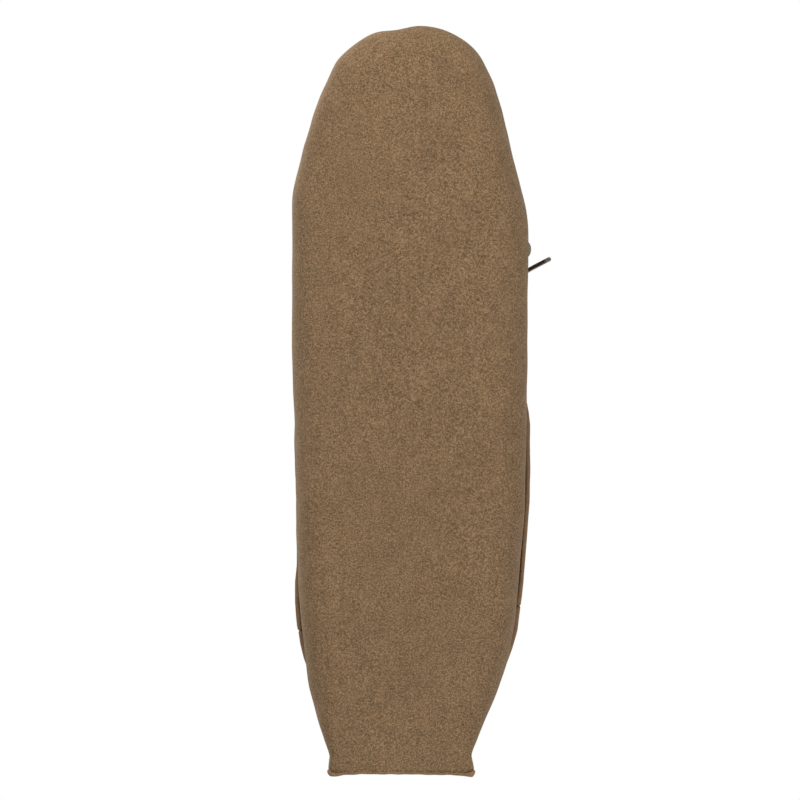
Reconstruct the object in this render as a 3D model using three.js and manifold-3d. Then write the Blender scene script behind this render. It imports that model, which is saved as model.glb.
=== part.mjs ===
// A right-foot soft-sole moccasin: one sheet of suede is the sole and the side walls, gathered round the toe into
// a plug, with a fold-down cuff, a flat leather lace tied in a bow, a tongue and a padded insole.
// Millimetres, +Z up, toe towards -Y, sole on Z = 0, origin under the middle of the shoe.
import * as THREE from "three";
import { mergeVertices } from "three/addons/utils/BufferGeometryUtils.js";
import Module from "manifold-3d";

const wasm = await Module();
wasm.setup();

// ---- driving dimensions, mm ----
const LEATHER = 1.6; // suede thickness of the sole and walls
const PLUG_LEATHER = 1.5;
const CUFF_LEATHER = 1.4;
const GAP = 0.35; // clearance between separate pieces
const CUFF_DEPTH = 24; // how far the folded cuff hangs down the wall
const CUFF_OVER_LACE = 2.1; // clear space between the wall and the cuff where the lace runs under it
const LACE_WIDTH = 3.0;
const LACE_THICK = 1.2;
const LACE_DROP = 10; // the collar run of the lace lies this far below the topline
const THREAD = 0.9; // waxed seam thread, as a square-ish cord over each seam
const SOLE_INSET = 10; // the flat of the sole starts this far inside the widest outline
const FLANGE_Z = 2.6; // height of the raised heel seam
const INSOLE_FOAM = 3.0;
const INSOLE_LINING = 1.0;
const TONGUE_LENGTH = 41;
const TONGUE_PITCH = 14; // degrees above the horizontal

// ---- the widest outline, from the middle of the heel round the medial side, the toe and the lateral side ----
const OUTLINE = [
  [-3.2, 123], [9.7, 123], [18.6, 122.9], [20.6, 121.9], [20.2, 118], [22, 112.8],
  [24.6, 107], [27.2, 101], [29.8, 94.6], [32.2, 87.2], [34.1, 76.7], [35.8, 63.3],
  [37.3, 46.6], [38.2, 26.6], [38.6, 6.5], [38.8, -13.5], [38.9, -33.6], [38.9, -50.3],
  [38.5, -62], [36.5, -70.4], [34.3, -79.4], [31.8, -90.4], [29.3, -100.4], [26.3, -109.1],
  [22.3, -116.3], [17.2, -120.8], [10.4, -124], [3, -125.2], [-5, -124.1], [-13, -122.5],
  [-19.7, -118.1], [-24.8, -113.3], [-27.9, -107.1], [-31.4, -98.8], [-34.8, -88.1], [-37.4, -77.7],
  [-39.4, -68], [-39.9, -57], [-39.8, -40.3], [-39.8, -23.6], [-39.4, -6.9], [-38.8, 9.9],
  [-38.3, 29.9], [-37.9, 50], [-37.3, 66.7], [-36.3, 80], [-34.6, 94.3], [-32.6, 101],
  [-30.9, 107], [-28.8, 112.8], [-27, 118], [-27.1, 121.9], [-25.2, 122.9], [-15.4, 123],
];
// ---- the wall's upper edge at the same stations: the topline behind the throat, the plug seam in front of it ----
const EDGE = [
  [-2.5, 113.5, 57], [5, 112.8, 57], [11.5, 110.5, 56.5], [17, 106, 56], [20.5, 100.5, 55], [23, 94.5, 54],
  [25, 88.5, 53], [26.8, 82, 52], [28.2, 75.5, 51], [29.4, 68, 50], [30.2, 58.5, 49], [30.6, 47.5, 48],
  [30.6, 35.5, 47.5], [30.1, 21.5, 47.5], [29.2, 6.5, 48], [27.8, -8.5, 49], [25.6, -23.5, 50.5], [27.2, -38, 44.5],
  [28.6, -50, 39.5], [29.2, -59, 36], [28.6, -68.5, 33], [26.8, -78.5, 30.5], [24.4, -87.5, 28.5], [21.2, -95.5, 27],
  [17.2, -102, 26], [12.4, -107, 25.2], [7, -110.2, 24.8], [1.2, -111.4, 24.6], [-4.8, -110.7, 24.8], [-10.6, -108, 25.2],
  [-15.8, -103.4, 26], [-20.4, -97.2, 27], [-24, -89.5, 28.2], [-26.8, -80, 30], [-28.8, -70.5, 32.4], [-29.8, -61, 35.4],
  [-29.8, -52, 38.8], [-28.8, -43, 42.6], [-27.2, -32.5, 47], [-25.9, -22, 50.5], [-27.9, -7.5, 49], [-29.4, 7.5, 48],
  [-30.4, 23, 47.5], [-31, 39, 47.5], [-31.2, 53, 48.3], [-30.8, 65, 49.6], [-29.9, 75.5, 51], [-28.8, 82, 52],
  [-27.3, 88.5, 53], [-25.5, 94.5, 54], [-23.2, 100.5, 55], [-20, 106, 56], [-15, 110.5, 56.5], [-9, 112.8, 57],
];
const ROWS = OUTLINE.length;
const THROAT_R = 16, TOE = 27, THROAT_L = 39; // rows of EDGE

const V = (x, y, z) => new THREE.Vector3(x, y, z);
const clamp = (x, a, b) => Math.min(b, Math.max(a, x));
const smooth = (x) => { const t = clamp(x, 0, 1); return t * t * (3 - 2 * t); };

// How near a station is to the squared-off heel end, from 0 to 1.
const heelness = (row) => {
  const r = ((row % ROWS) + ROWS) % ROWS;
  const d = Math.min(r, ROWS - r);
  return 1 - smooth((d - 2.5) / 6.5);
};
const outlineCurve = new THREE.CatmullRomCurve3(OUTLINE.map(([x, y]) => V(x, y, 0)), true, "centripetal");
const edgeCurve = new THREE.CatmullRomCurve3(EDGE.map((p) => V(...p)), true, "centripetal");
const at = (curve, row) => curve.getPoint((((row / ROWS) % 1) + 1) % 1);

// A point of the outer skin. s runs from 0 at the flat of the sole, through 0.3 at the widest level, to 1 at the upper edge.
const LOW = 0.3;
function skin(row, s) {
  const c = at(outlineCurve, row), e = at(edgeCurve, row), h = heelness(row);
  const level = 12 - 10 * h, inset = SOLE_INSET - (SOLE_INSET - 1.6) * h;
  const t = at(outlineCurve, row + 0.05).sub(at(outlineCurve, row - 0.05));
  const out = V(-t.y, t.x, 0).normalize(); // the outline runs clockwise seen from above, so this points out
  if (s <= LOW) {
    const a = (s / LOW - 1) * Math.PI / 2;
    return c.clone().addScaledVector(out, -inset * (1 - Math.cos(a))).setZ(level * (1 + Math.sin(a)));
  }
  const k = (s - LOW) / (1 - LOW), rise = e.z - level;
  const p0 = c.clone().setZ(level), p1 = p0.clone().lerp(V(e.x, e.y, 0), 0.3 * h).setZ(level + 0.5 * rise);
  const p2 = V(e.x + 0.3 * (c.x - e.x), e.y + 0.3 * (c.y - e.y), e.z - 0.22 * rise);
  return new THREE.CubicBezierCurve3(p0, p1, p2, e).getPoint(k);
}
function normal(row, s) {
  const a = skin(row + 0.04, s), b = skin(row - 0.04, s);
  const c = skin(row, Math.min(1, s + 0.01)), d = skin(row, Math.max(0, s - 0.01));
  const n = a.sub(b).cross(c.sub(d)).normalize();
  const o = at(outlineCurve, row);
  const middle = V(clamp(o.x, -1, 1), clamp(o.y, -80, 80), 20);
  return n.dot(skin(row, s).sub(middle)) < 0 && s > 0.02 ? n.negate() : s <= 0.02 ? V(0, 0, -1) : n;
}
// A point drop millimetres down the wall from its upper edge and off millimetres out of the leather.
function onWall(row, drop, off) {
  let s = 1, gone = 0, p = skin(row, 1);
  while (gone < drop && s > LOW) {
    s -= 0.01;
    const q = skin(row, s);
    gone += q.distanceTo(p);
    p = q;
  }
  return p.addScaledVector(normal(row, Math.min(s, 0.99)), off);
}

// ---- solids ----
function solid(name, points, faces, material) {
  const g = new THREE.BufferGeometry();
  g.setAttribute("position", new THREE.Float32BufferAttribute(points.flatMap((p) => [p.x, p.y, p.z]), 3));
  let volume = 0;
  for (const [a, b, c] of faces) volume += points[a].dot(points[b].clone().cross(points[c])) / 6;
  g.setIndex((volume < 0 ? faces.map(([a, b, c]) => [a, c, b]) : faces).flat());
  g.computeVertexNormals();
  const m = new THREE.Mesh(g, material);
  m.name = name;
  return m;
}
// A closed solid between two grids of points that share their layout: grid[i][j].
function slab(name, top, under, material, closed = false) {
  const ni = top.length, nj = top[0].length, pts = [...top.flat(), ...under.flat()], f = [];
  const id = (side, i, j) => side * ni * nj + (closed ? i % ni : i) * nj + j;
  const quad = (a, b, c, d) => f.push([a, b, c], [a, c, d]);
  const li = closed ? ni : ni - 1;
  for (let i = 0; i < li; i++)
    for (let j = 0; j < nj - 1; j++) {
      quad(id(0, i, j), id(0, i + 1, j), id(0, i + 1, j + 1), id(0, i, j + 1));
      quad(id(1, i, j), id(1, i, j + 1), id(1, i + 1, j + 1), id(1, i + 1, j));
    }
  for (let i = 0; i < li; i++) {
    quad(id(0, i, 0), id(1, i, 0), id(1, i + 1, 0), id(0, i + 1, 0));
    quad(id(0, i, nj - 1), id(0, i + 1, nj - 1), id(1, i + 1, nj - 1), id(1, i, nj - 1));
  }
  if (!closed)
    for (let j = 0; j < nj - 1; j++) {
      quad(id(0, 0, j), id(0, 0, j + 1), id(1, 0, j + 1), id(1, 0, j));
      quad(id(0, ni - 1, j), id(1, ni - 1, j), id(1, ni - 1, j + 1), id(0, ni - 1, j + 1));
    }
  return solid(name, pts, f, material);
}
// A strip of constant section swept along points: across is the strip's width direction at each point.
function strip(name, path, across, width, thick, material) {
  const rings = path.map((p, i) => {
    const t = path[Math.min(i + 1, path.length - 1)].clone().sub(path[Math.max(i - 1, 0)]).normalize();
    const w = across[i].clone().addScaledVector(t, -across[i].dot(t)).normalize();
    const n = w.clone().cross(t).normalize();
    return [[-1, -1], [1, -1], [1, 1], [-1, 1]].map(([a, b]) =>
      p.clone().addScaledVector(w, a * width / 2).addScaledVector(n, b * thick / 2));
  });
  const pts = rings.flat(), f = [], n = rings.length;
  for (let i = 0; i < n - 1; i++)
    for (let k = 0; k < 4; k++) {
      const a = i * 4 + k, b = i * 4 + (k + 1) % 4;
      f.push([a, b, b + 4], [a, b + 4, a + 4]);
    }
  f.push([0, 2, 1], [0, 3, 2], [n * 4 - 4, n * 4 - 3, n * 4 - 2], [n * 4 - 4, n * 4 - 2, n * 4 - 1]);
  return solid(name, pts, f, material);
}
function toManifold(mesh) {
  const g = mesh.geometry.clone();
  g.deleteAttribute("normal");
  const m = mergeVertices(g, 1e-4);
  return new wasm.Manifold(new wasm.Mesh({ numProp: 3, vertProperties: m.attributes.position.array, triVerts: new Uint32Array(m.index.array) }));
}
function fromManifold(name, s, material) {
  const m = s.getMesh(), g = new THREE.BufferGeometry();
  g.setAttribute("position", new THREE.BufferAttribute(new Float32Array(m.vertProperties), 3));
  g.setIndex(new THREE.BufferAttribute(new Uint32Array(m.triVerts), 1));
  g.computeVertexNormals();
  const mesh = new THREE.Mesh(g, material);
  mesh.name = name;
  return mesh;
}
const range = (a, b, n) => Array.from({ length: n + 1 }, (_, i) => a + (b - a) * i / n);

const suede = new THREE.MeshStandardMaterial({ color: 0x80664c, roughness: 0.95, metalness: 0 });
const suedeEdge = new THREE.MeshStandardMaterial({ color: 0x8f7860, roughness: 0.95, metalness: 0 });
const laceLeather = new THREE.MeshStandardMaterial({ color: 0x2c2424, roughness: 0.6, metalness: 0 });
const thread = new THREE.MeshStandardMaterial({ color: 0x6a5541, roughness: 0.8, metalness: 0 });
const foam = new THREE.MeshStandardMaterial({ color: 0xd8cdb8, roughness: 0.95, metalness: 0 });
const lining = new THREE.MeshStandardMaterial({ color: 0xb59a78, roughness: 0.9, metalness: 0 });

const shoe = new THREE.Group();

// ---- the sole and walls, one sheet of suede ----
{
  const N = 108, S = [0, 0.1, 0.2, 0.3, 0.42, 0.54, 0.66, 0.78, 0.89, 1];
  const outer = range(0, ROWS, N).slice(0, N).map((r) => S.map((s) => skin(r, s)));
  const inner = range(0, ROWS, N).slice(0, N).map((r) => S.map((s) => skin(r, s).addScaledVector(normal(r, s), -LEATHER)));
  inner.forEach((col) => { col[0].z = LEATHER; });
  const pts = [...outer.flat(), ...inner.flat()], f = [], nj = S.length;
  const id = (side, i, j) => side * N * nj + (i % N) * nj + j;
  const quad = (a, b, c, d) => f.push([a, b, c], [a, c, d]);
  for (let i = 0; i < N; i++) {
    for (let j = 0; j < nj - 1; j++) {
      quad(id(0, i, j), id(0, i + 1, j), id(0, i + 1, j + 1), id(0, i, j + 1));
      quad(id(1, i, j), id(1, i, j + 1), id(1, i + 1, j + 1), id(1, i + 1, j));
    }
    quad(id(0, i, nj - 1), id(0, i + 1, nj - 1), id(1, i + 1, nj - 1), id(1, i, nj - 1));
  }
  // the flat of the sole, under the foot and inside, in strips across the shoe
  for (let k = 0; k < N / 2; k++) {
    const a = k, b = k + 1, c = N - k, d = N - k - 1;
    if (k === 0) {
      f.push([id(0, 0, 0), id(0, N - 1, 0), id(0, 1, 0)], [id(1, 0, 0), id(1, 1, 0), id(1, N - 1, 0)]);
    } else if (k < N / 2 - 1) {
      f.push([id(0, a, 0), id(0, c, 0), id(0, d, 0)], [id(0, a, 0), id(0, d, 0), id(0, b, 0)]);
      f.push([id(1, a, 0), id(1, d, 0), id(1, c, 0)], [id(1, a, 0), id(1, b, 0), id(1, d, 0)]);
    } else {
      f.push([id(0, a, 0), id(0, c, 0), id(0, b, 0)], [id(1, a, 0), id(1, b, 0), id(1, c, 0)]);
    }
  }
  const sheet = solid("moccasin_body", pts, f, suede);
  // the raised heel seam: its two leather edges stand out along the base, with an ear at each end
  const flange = new THREE.Shape([
    [-26.6, 120.6], [-27.4, 122.6], [-27.5, 124.4], [-26.2, 124.9], [-24.2, 124.6], [-20, 124.7],
    [10, 124.9], [17, 125.1], [19.6, 125.2], [20.9, 124.5], [21.1, 123.2], [20.2, 120.6],
  ].map(([x, y]) => new THREE.Vector2(x, y)));
  const fg = new THREE.ExtrudeGeometry(flange, { depth: FLANGE_Z, bevelEnabled: false, steps: 1 });
  fg.deleteAttribute("uv");
  const fm = new THREE.Mesh(fg.toNonIndexed(), suede);
  fm.geometry.translate(0, 0, 0.2);
  let flangeSolid = toManifold(fm);
  // only the part outside the wall is added
  shoe.add(fromManifold("moccasin_body", toManifold(sheet).add(flangeSolid), suede));
}

// ---- the plug over the toes and the instep ----
// v runs from 0 at the toe to 1 at the throat, w from the medial side to the lateral one.
const PLUG_LIFT = GAP + 0.25;
const plugRise = (v) => 1.5 + 8.2 * Math.pow(v, 0.7);
function plugPoint(v, w, up = 0) {
  const r = at(edgeCurve, TOE - (TOE - THROAT_R) * v), l = at(edgeCurve, TOE + (THROAT_L - TOE) * v);
  const p = r.lerp(l, w), q = 1 - (2 * w - 1) ** 2;
  p.z += plugRise(v) * Math.pow(q, 0.75) * smooth(v / 0.08 + 0.15) + up;
  p.y += (3.5 * v * v - 1.5 * (1 - v) * smooth(v / 0.15)) * q;
  return p;
}
{
  const vs = [0.004, 0.03, 0.08, 0.15, 0.24, 0.34, 0.45, 0.56, 0.67, 0.78, 0.89, 1], ws = range(0, 1, 14);
  const grid = (up) => vs.map((v) => ws.map((w) => plugPoint(v, w, up)));
  shoe.add(slab("vamp_plug", grid(PLUG_LIFT + PLUG_LEATHER), grid(PLUG_LIFT), suede));
}
// the whip-stitched plug seam, as one thread over the joined edges
{
  const path = range(THROAT_R - 0.05, THROAT_L + 0.05, 84).map((r) => {
    const e = at(edgeCurve, r), c = at(outlineCurve, r), out = V(c.x - e.x, c.y - e.y, 0).normalize();
    return e.addScaledVector(out, 0.95).add(V(0, 0, PLUG_LIFT + PLUG_LEATHER + GAP + THREAD / 2 + 0.5));
  });
  shoe.add(strip("plug_seam_thread", path, path.map(() => V(0, 0, 1)), THREAD, THREAD, thread));
}

// ---- the cuff: a facing inside the topline, and flaps folded down outside it ----
// how far the hem stands off the wall, by row: close on the lateral side, open at the medial side and the heel
const HEM = [[-12, 0.6], [-10.5, 1.7], [-9, 2], [-7, 1], [-3, 1.2], [3, 1.2], [7, 1.6], [9, 2.2], [10.5, 2.4], [12.5, 2.5], [14, 1.6], [15.3, 0.8],
  [39, 0.6], [42, 0.6], [43.6, 1.7], [45, 2], [47, 1]];
const hemOff = (row) => {
  for (let i = 1; i < HEM.length; i++) if (row <= HEM[i][0]) {
    const [a, x] = HEM[i - 1], [b, y] = HEM[i];
    return x + (y - x) * clamp((row - a) / (b - a), 0, 1);
  }
  return 1;
};
const standoff = (d, row) => {
  const over = 0.5 + (CUFF_OVER_LACE - 0.5) * smooth(d / 7.5);
  return over + (hemOff(row) - CUFF_OVER_LACE) * smooth((d - 12.5) / (CUFF_DEPTH - 12.5));
};
{
  // the facing: down inside, over the edge
  const rows = range(THROAT_L + 0.45, ROWS + THROAT_R - 0.45, 46);
  const section = (r) => {
    const e = skin(r, 1), n = normal(r, 0.99), down = skin(r, 0.93).sub(skin(r, 1)).normalize();
    const a = (o, d) => e.clone().addScaledVector(n, o).addScaledVector(down, d);
    const i = -LEATHER - GAP, t = CUFF_LEATHER;
    return { outer: [a(0.1, -GAP - t), a(i - t, -GAP - t), a(i - t, 7)], inner: [a(0.1, -GAP), a(i, -GAP), a(i, 7)] };
  };
  shoe.add(slab("collar_facing", rows.map((r) => section(r).outer), rows.map((r) => section(r).inner), suede));
}
function flap(name, from, to, n, depth, cut) {
  const rows = range(from, to, n), steps = 9;
  const grid = (extra) => rows.map((r, i) =>
    range(0, 1, steps).map((k) => onWall(r, 0.3 + k * depth * cut(i / n), standoff(k * depth * cut(i / n), r) + extra)));
  return slab(name, grid(CUFF_LEATHER), grid(0), suede);
}
// the front corner of each flap is rounded off
const corner = (k) => 0.42 + 0.58 * Math.sqrt(1 - (1 - Math.min(1, k / 0.3)) ** 2);
shoe.add(flap("cuff_medial", 15.25, 10.35, 20, CUFF_DEPTH, corner));
shoe.add(flap("cuff_lateral", 39.8, 45.0, 20, CUFF_DEPTH, corner));
shoe.add(flap("cuff_heel", 45.15 - ROWS, 10.2, 34, CUFF_DEPTH, () => 1));

// ---- the lace: round the heel between wall and cuff, up to the throat ----
const laceOff = GAP + LACE_THICK / 2;
{
  const rows = range(THROAT_L - 0.1, ROWS + THROAT_R + 0.1, 92);
  const drop = (r) => { // down the wall at this station, rising to the throat at both ends
    const k = Math.min(r - THROAT_L, ROWS + THROAT_R - r);
    return 3.2 + (LACE_DROP - 3.2) * smooth((k - 0.05) / 0.65);
  };
  const path = rows.map((r) => onWall(r, drop(r), laceOff + 0.05));
  const across = rows.map((r) => onWall(r, drop(r) + 1.5, 0).sub(onWall(r, Math.max(0, drop(r) - 1.5), 0)));
  shoe.add(strip("lace_collar_run", path, across, LACE_WIDTH, LACE_THICK, laceLeather));
}
// the bow: a knot on the instep, two loops and two tails
const KNOT = plugPoint(0.955, 0.5, PLUG_LIFT + PLUG_LEATHER);
{
  const k = new THREE.SphereGeometry(1, 16, 10);
  k.scale(5.2, 4.2, 3.0);
  const m = new THREE.Mesh(k, laceLeather);
  m.position.copy(KNOT).add(V(0, 0, 3.0 + GAP));
  m.name = "bow_knot";
  const g = k.clone();
  g.deleteAttribute("normal"); g.deleteAttribute("uv");
  m.geometry = mergeVertices(g, 1e-4);
  shoe.add(m);
}
function ribbon(name, pts, acrossPts, n) {
  const c = new THREE.CatmullRomCurve3(pts.map((p) => V(...p)), false, "centripetal");
  const a = new THREE.CatmullRomCurve3(acrossPts.map((p) => V(...p)), false, "centripetal");
  const us = range(0, 1, n);
  return strip(name, us.map((u) => c.getPoint(u)), us.map((u) => a.getPoint(u)), LACE_WIDTH, LACE_THICK, laceLeather);
}
// each end runs from the throat corner up over the plug to the knot
shoe.add(ribbon("lace_lead_medial", [[24.6, -25.4, 56.2], [20.5, -25.6, 58.6], [14, -25.2, 61.4], [6.6, -24.8, 63.6]],
  [[0, 1, 0], [0, 1, 0], [0, 1, 0], [0, 1, 0]], 8));
shoe.add(ribbon("lace_lead_lateral", [[-24.8, -24.2, 56.2], [-20.6, -24.6, 58.6], [-14, -24.6, 61.4], [-6.6, -24.6, 63.6]],
  [[0, 1, 0], [0, 1, 0], [0, 1, 0], [0, 1, 0]], 8));
shoe.add(ribbon("bow_loop_medial", [[6, -26.6, 66], [14, -30.2, 67.2], [23, -36.8, 64.6], [31.6, -43.8, 58.6], [38.2, -49.4, 52.6], [41.2, -51.9, 49.4],
  [40.2, -51.5, 47], [35.4, -47.9, 49.6], [29.2, -43.2, 55], [21.4, -37.4, 60], [13.6, -31.8, 63.4], [6, -27.8, 64]],
  [[0.3, 1, 0], [0.5, 1, 0], [0.75, 1, 0], [0.8, 1, 0], [0.85, 1, 0], [0.85, 1, 0], [0.85, 1, 0], [0.8, 1, 0], [0.8, 1, 0], [0.75, 1, 0], [0.5, 1, 0], [0.3, 1, 0]], 44));
shoe.add(ribbon("bow_loop_lateral", [[-6, -26.6, 66], [-13, -29.6, 67.4], [-20.6, -34.4, 65.2], [-27.4, -39.2, 60.6], [-32, -43, 55.6], [-34.2, -45, 52],
  [-33, -44.6, 49.8], [-29.4, -41.4, 53], [-24.4, -37.6, 58], [-18.4, -33.8, 61.8], [-12.2, -30.4, 63.6], [-6, -27.8, 64]],
  [[-0.3, 1, 0], [-0.5, 1, 0], [-0.7, 1, 0], [-0.75, 1, 0], [-0.8, 1, 0], [-0.8, 1, 0], [-0.8, 1, 0], [-0.8, 1, 0], [-0.75, 1, 0], [-0.7, 1, 0], [-0.5, 1, 0], [-0.3, 1, 0]], 44));
shoe.add(ribbon("lace_tail_medial", [[5.8, -23.6, 67.6], [12, -24.8, 70], [20, -29.6, 69], [29, -36.6, 63.6], [36.4, -42.4, 57.6], [41, -45.1, 53.8], [47.4, -48.4, 48.4]],
  [[0, 1, 0.4], [0, 1, 0.8], [0, 0.4, 1], [0, 0.1, 1], [0, 0, 1], [0, 0, 1], [0, 0, 1]], 24));
shoe.add(ribbon("lace_tail_lateral", [[-5.8, -23.6, 67.6], [-12, -23.6, 69.8], [-19.4, -24.4, 67.6], [-26, -26, 61.6], [-31.6, -28.4, 54.8], [-35, -30.2, 49.4]],
  [[0, 1, 0.4], [0, 1, 0.4], [0, 1, 0.2], [0, 1, 0], [0, 1, 0], [0, 1, 0]], 20));

// ---- the tongue, sewn to the plug's rear edge and free to fold ----
const HINGE = { y: -17.2, z: 59.2 };
{
  const pitch = TONGUE_PITCH * Math.PI / 180, ks = range(0, 1, 9), ws = range(-1, 1, 10);
  const point = (k, w, up) => {
    const half = (21.3 - 1.6 * k) * (k > 0.8 ? Math.sqrt(Math.max(0.05, 1 - ((k - 0.8) / 0.225) ** 2)) * 0.45 + 0.55 : 1);
    const along = 1.2 + TONGUE_LENGTH * k - 2.6 * (1 - k) * w * w * 0;
    const arch = -5.2 * (1 - 0.45 * k) * w * w + 2.2 * Math.sin(Math.PI * k);
    return V(half * w, HINGE.y + along * Math.cos(pitch) - arch * Math.sin(pitch) * 0.2, HINGE.z - 0.8 + along * Math.sin(pitch) + arch + up);
  };
  shoe.add(slab("tongue", ks.map((k) => ws.map((w) => point(k, w, PLUG_LEATHER))), ks.map((k) => ws.map((w) => point(k, w, 0))), suede));
}

// ---- seam threads ----
{
  // across the heel base, over the raised seam
  const path = range(-24.5, 18.5, 12).map((x) => V(x, 124.35, 0.2 + FLANGE_Z + GAP + THREAD / 2));
  // up the back of the heel
  const back = range(0.38, 0.58, 8).map((s) => skin(0.02, s).addScaledVector(normal(0.02, s), GAP + THREAD / 2));
  shoe.add(strip("back_seam_thread", back, back.map(() => V(1, 0, 0)), 2.4, THREAD, thread));
  shoe.add(strip("heel_base_thread", path, path.map(() => V(0, 0, 1)), THREAD, THREAD, thread));
  // round the inside of the collar facing
  const rows = range(THROAT_L + 0.6, ROWS + THROAT_R - 0.6, 70);
  const ring = rows.map((r) => {
    const n = normal(r, 0.99), down = skin(r, 0.93).sub(skin(r, 1)).normalize();
    return skin(r, 1).addScaledVector(n, -LEATHER - 2 * GAP - CUFF_LEATHER - THREAD / 2 - 0.25).addScaledVector(down, 4.2);
  });
  shoe.add(strip("collar_seam_thread", ring, rows.map(() => V(0, 0, 1)), THREAD, THREAD, thread));
  // across the plug's rear edge, holding the tongue
  const bar = range(0.2, 0.8, 14).map((w) => plugPoint(1, w, PLUG_LIFT + PLUG_LEATHER + GAP + THREAD / 2).add(V(0, -1.0, 0.05)));
  shoe.add(strip("tongue_seam_thread", bar, bar.map(() => V(0, 1, 0)), THREAD, THREAD, thread));
}

// ---- the insole: a foam pad under a lining ----
function insole(name, z, thick, inset, material) {
  const N = 72, pts = range(0, ROWS, N).slice(0, N).map((r) => {
    const c = at(outlineCurve, r), middle = V(clamp(c.x, -14, 14), clamp(c.y, -92, 104), 0);
    const p = c.clone().addScaledVector(c.clone().sub(middle).normalize(), -inset);
    return new THREE.Vector2(p.x, p.y);
  });
  const g = new THREE.ExtrudeGeometry(new THREE.Shape(pts), { depth: thick, bevelEnabled: false, steps: 1 });
  g.translate(0, 0, z);
  const m = new THREE.Mesh(g, material);
  m.name = name;
  return m;
}
shoe.add(insole("insole_foam", LEATHER + GAP, INSOLE_FOAM, 12.4, foam));
shoe.add(insole("sock_lining", LEATHER + 2 * GAP + INSOLE_FOAM, INSOLE_LINING, 8.8, lining));

export default shoe;
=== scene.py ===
import math

import bpy
import numpy as np
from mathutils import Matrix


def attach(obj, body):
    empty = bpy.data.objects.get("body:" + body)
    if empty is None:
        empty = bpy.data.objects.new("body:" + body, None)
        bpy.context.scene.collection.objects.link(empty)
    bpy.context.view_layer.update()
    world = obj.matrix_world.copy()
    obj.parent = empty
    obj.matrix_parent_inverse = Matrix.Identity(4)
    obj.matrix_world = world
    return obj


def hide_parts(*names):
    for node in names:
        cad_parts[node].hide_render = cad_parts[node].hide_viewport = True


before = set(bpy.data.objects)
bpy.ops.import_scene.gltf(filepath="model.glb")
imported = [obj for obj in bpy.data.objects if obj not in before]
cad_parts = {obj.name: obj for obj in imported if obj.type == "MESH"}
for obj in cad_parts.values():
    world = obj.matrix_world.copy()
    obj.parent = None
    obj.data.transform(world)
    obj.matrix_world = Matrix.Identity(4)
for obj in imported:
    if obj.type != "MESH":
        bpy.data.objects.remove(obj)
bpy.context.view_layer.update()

rng = np.random.default_rng(7)
scene = bpy.context.scene
scene.view_settings.view_transform = "Standard"
MM = 0.001

# ------------------------------------------------------------------ dimensions, mm
LEATHER, PLUG_LEATHER, CUFF_LEATHER, GAP = 1.6, 1.5, 1.4, 0.35
LOW, INSET = 0.3, 10.0
CUFF_DEPTH = 24.0
LACE_W, LACE_T, LACE_DROP = 3.0, 1.2, 10.0
OUTLINE = np.array([
    [-3.2, 123.2], [9.7, 123.2], [18.6, 123.1], [20.75, 122.0], [20.1, 118.2], [22.1, 112.8],
    [24.6, 107.0], [27.1, 101.0], [29.6, 94.6], [32.1, 87.2], [34.3, 76.7], [35.9, 63.3],
    [37.3, 46.6], [38.3, 26.6], [38.6, 6.5], [38.8, -13.5], [39.2, -33.6], [39.3, -50.3],
    [38.8, -62], [36.9, -70.4], [34.5, -79.4], [31.9, -90.4], [29.3, -100.4], [26.2, -109.1],
    [22.2, -116.3], [17.2, -120.8], [10.4, -124.0], [3, -125.1], [-5, -123.8], [-13, -122.4],
    [-19.9, -118.1], [-24.9, -113.3], [-28.0, -107.1], [-31.6, -98.8], [-34.9, -88.1], [-37.6, -77.7],
    [-39.6, -68], [-40.0, -57], [-39.9, -40.3], [-39.8, -23.6], [-39.4, -6.9], [-38.8, 9.9],
    [-38.3, 29.9], [-37.9, 50], [-37.3, 66.7], [-36.3, 80], [-34.5, 94.3], [-32.6, 101.0],
    [-30.9, 107.0], [-28.8, 112.8], [-27.0, 118.2], [-27.3, 122.0], [-25.2, 123.1], [-15.4, 123.2],
])
EDGE = np.array([
    [-2.5, 113.5, 57], [5, 112.8, 57], [11.5, 110.5, 56.5], [17, 106, 56], [20.5, 100.5, 55], [23, 94.5, 54],
    [25, 88.5, 53], [26.8, 82, 52], [28.2, 75.5, 51], [29.4, 68, 50], [30.2, 58.5, 49], [30.6, 47.5, 48],
    [30.6, 35.5, 47.5], [30.1, 21.5, 47.5], [29.2, 6.5, 48], [27.8, -8.5, 49], [25.6, -23.5, 50.5], [27.2, -38, 44.5],
    [28.6, -50, 39.5], [29.2, -59, 36], [28.6, -68.5, 33], [26.8, -78.5, 30.5], [24.4, -87.5, 28.5], [21.2, -95.5, 27],
    [17.2, -102, 26], [12.4, -107, 25.2], [7, -110.2, 24.8], [1.2, -111.4, 24.6], [-4.8, -110.7, 24.8], [-10.6, -108, 25.2],
    [-15.8, -103.4, 26], [-20.4, -97.2, 27], [-24, -89.5, 28.2], [-26.8, -80, 30], [-28.8, -70.5, 32.4], [-29.8, -61, 35.4],
    [-29.8, -52, 38.8], [-28.8, -43, 42.6], [-27.2, -32.5, 47], [-25.9, -22, 50.5], [-27.9, -7.5, 49], [-29.4, 7.5, 48],
    [-30.4, 23, 47.5], [-31, 39, 47.5], [-31.2, 53, 48.3], [-30.8, 65, 49.6], [-29.9, 75.5, 51], [-28.8, 82, 52],
    [-27.3, 88.5, 53], [-25.5, 94.5, 54], [-23.2, 100.5, 55], [-20, 106, 56], [-15, 110.5, 56.5], [-9, 112.8, 57],
])
ROWS = len(OUTLINE)
THROAT_R, TOE, THROAT_L = 16.0, 27.0, 39.0


def smooth(x):
    t = np.clip(x, 0.0, 1.0)
    return t * t * (3 - 2 * t)


def unit(v):
    return v / np.maximum(np.linalg.norm(v, axis=-1, keepdims=True), 1e-12)


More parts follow.
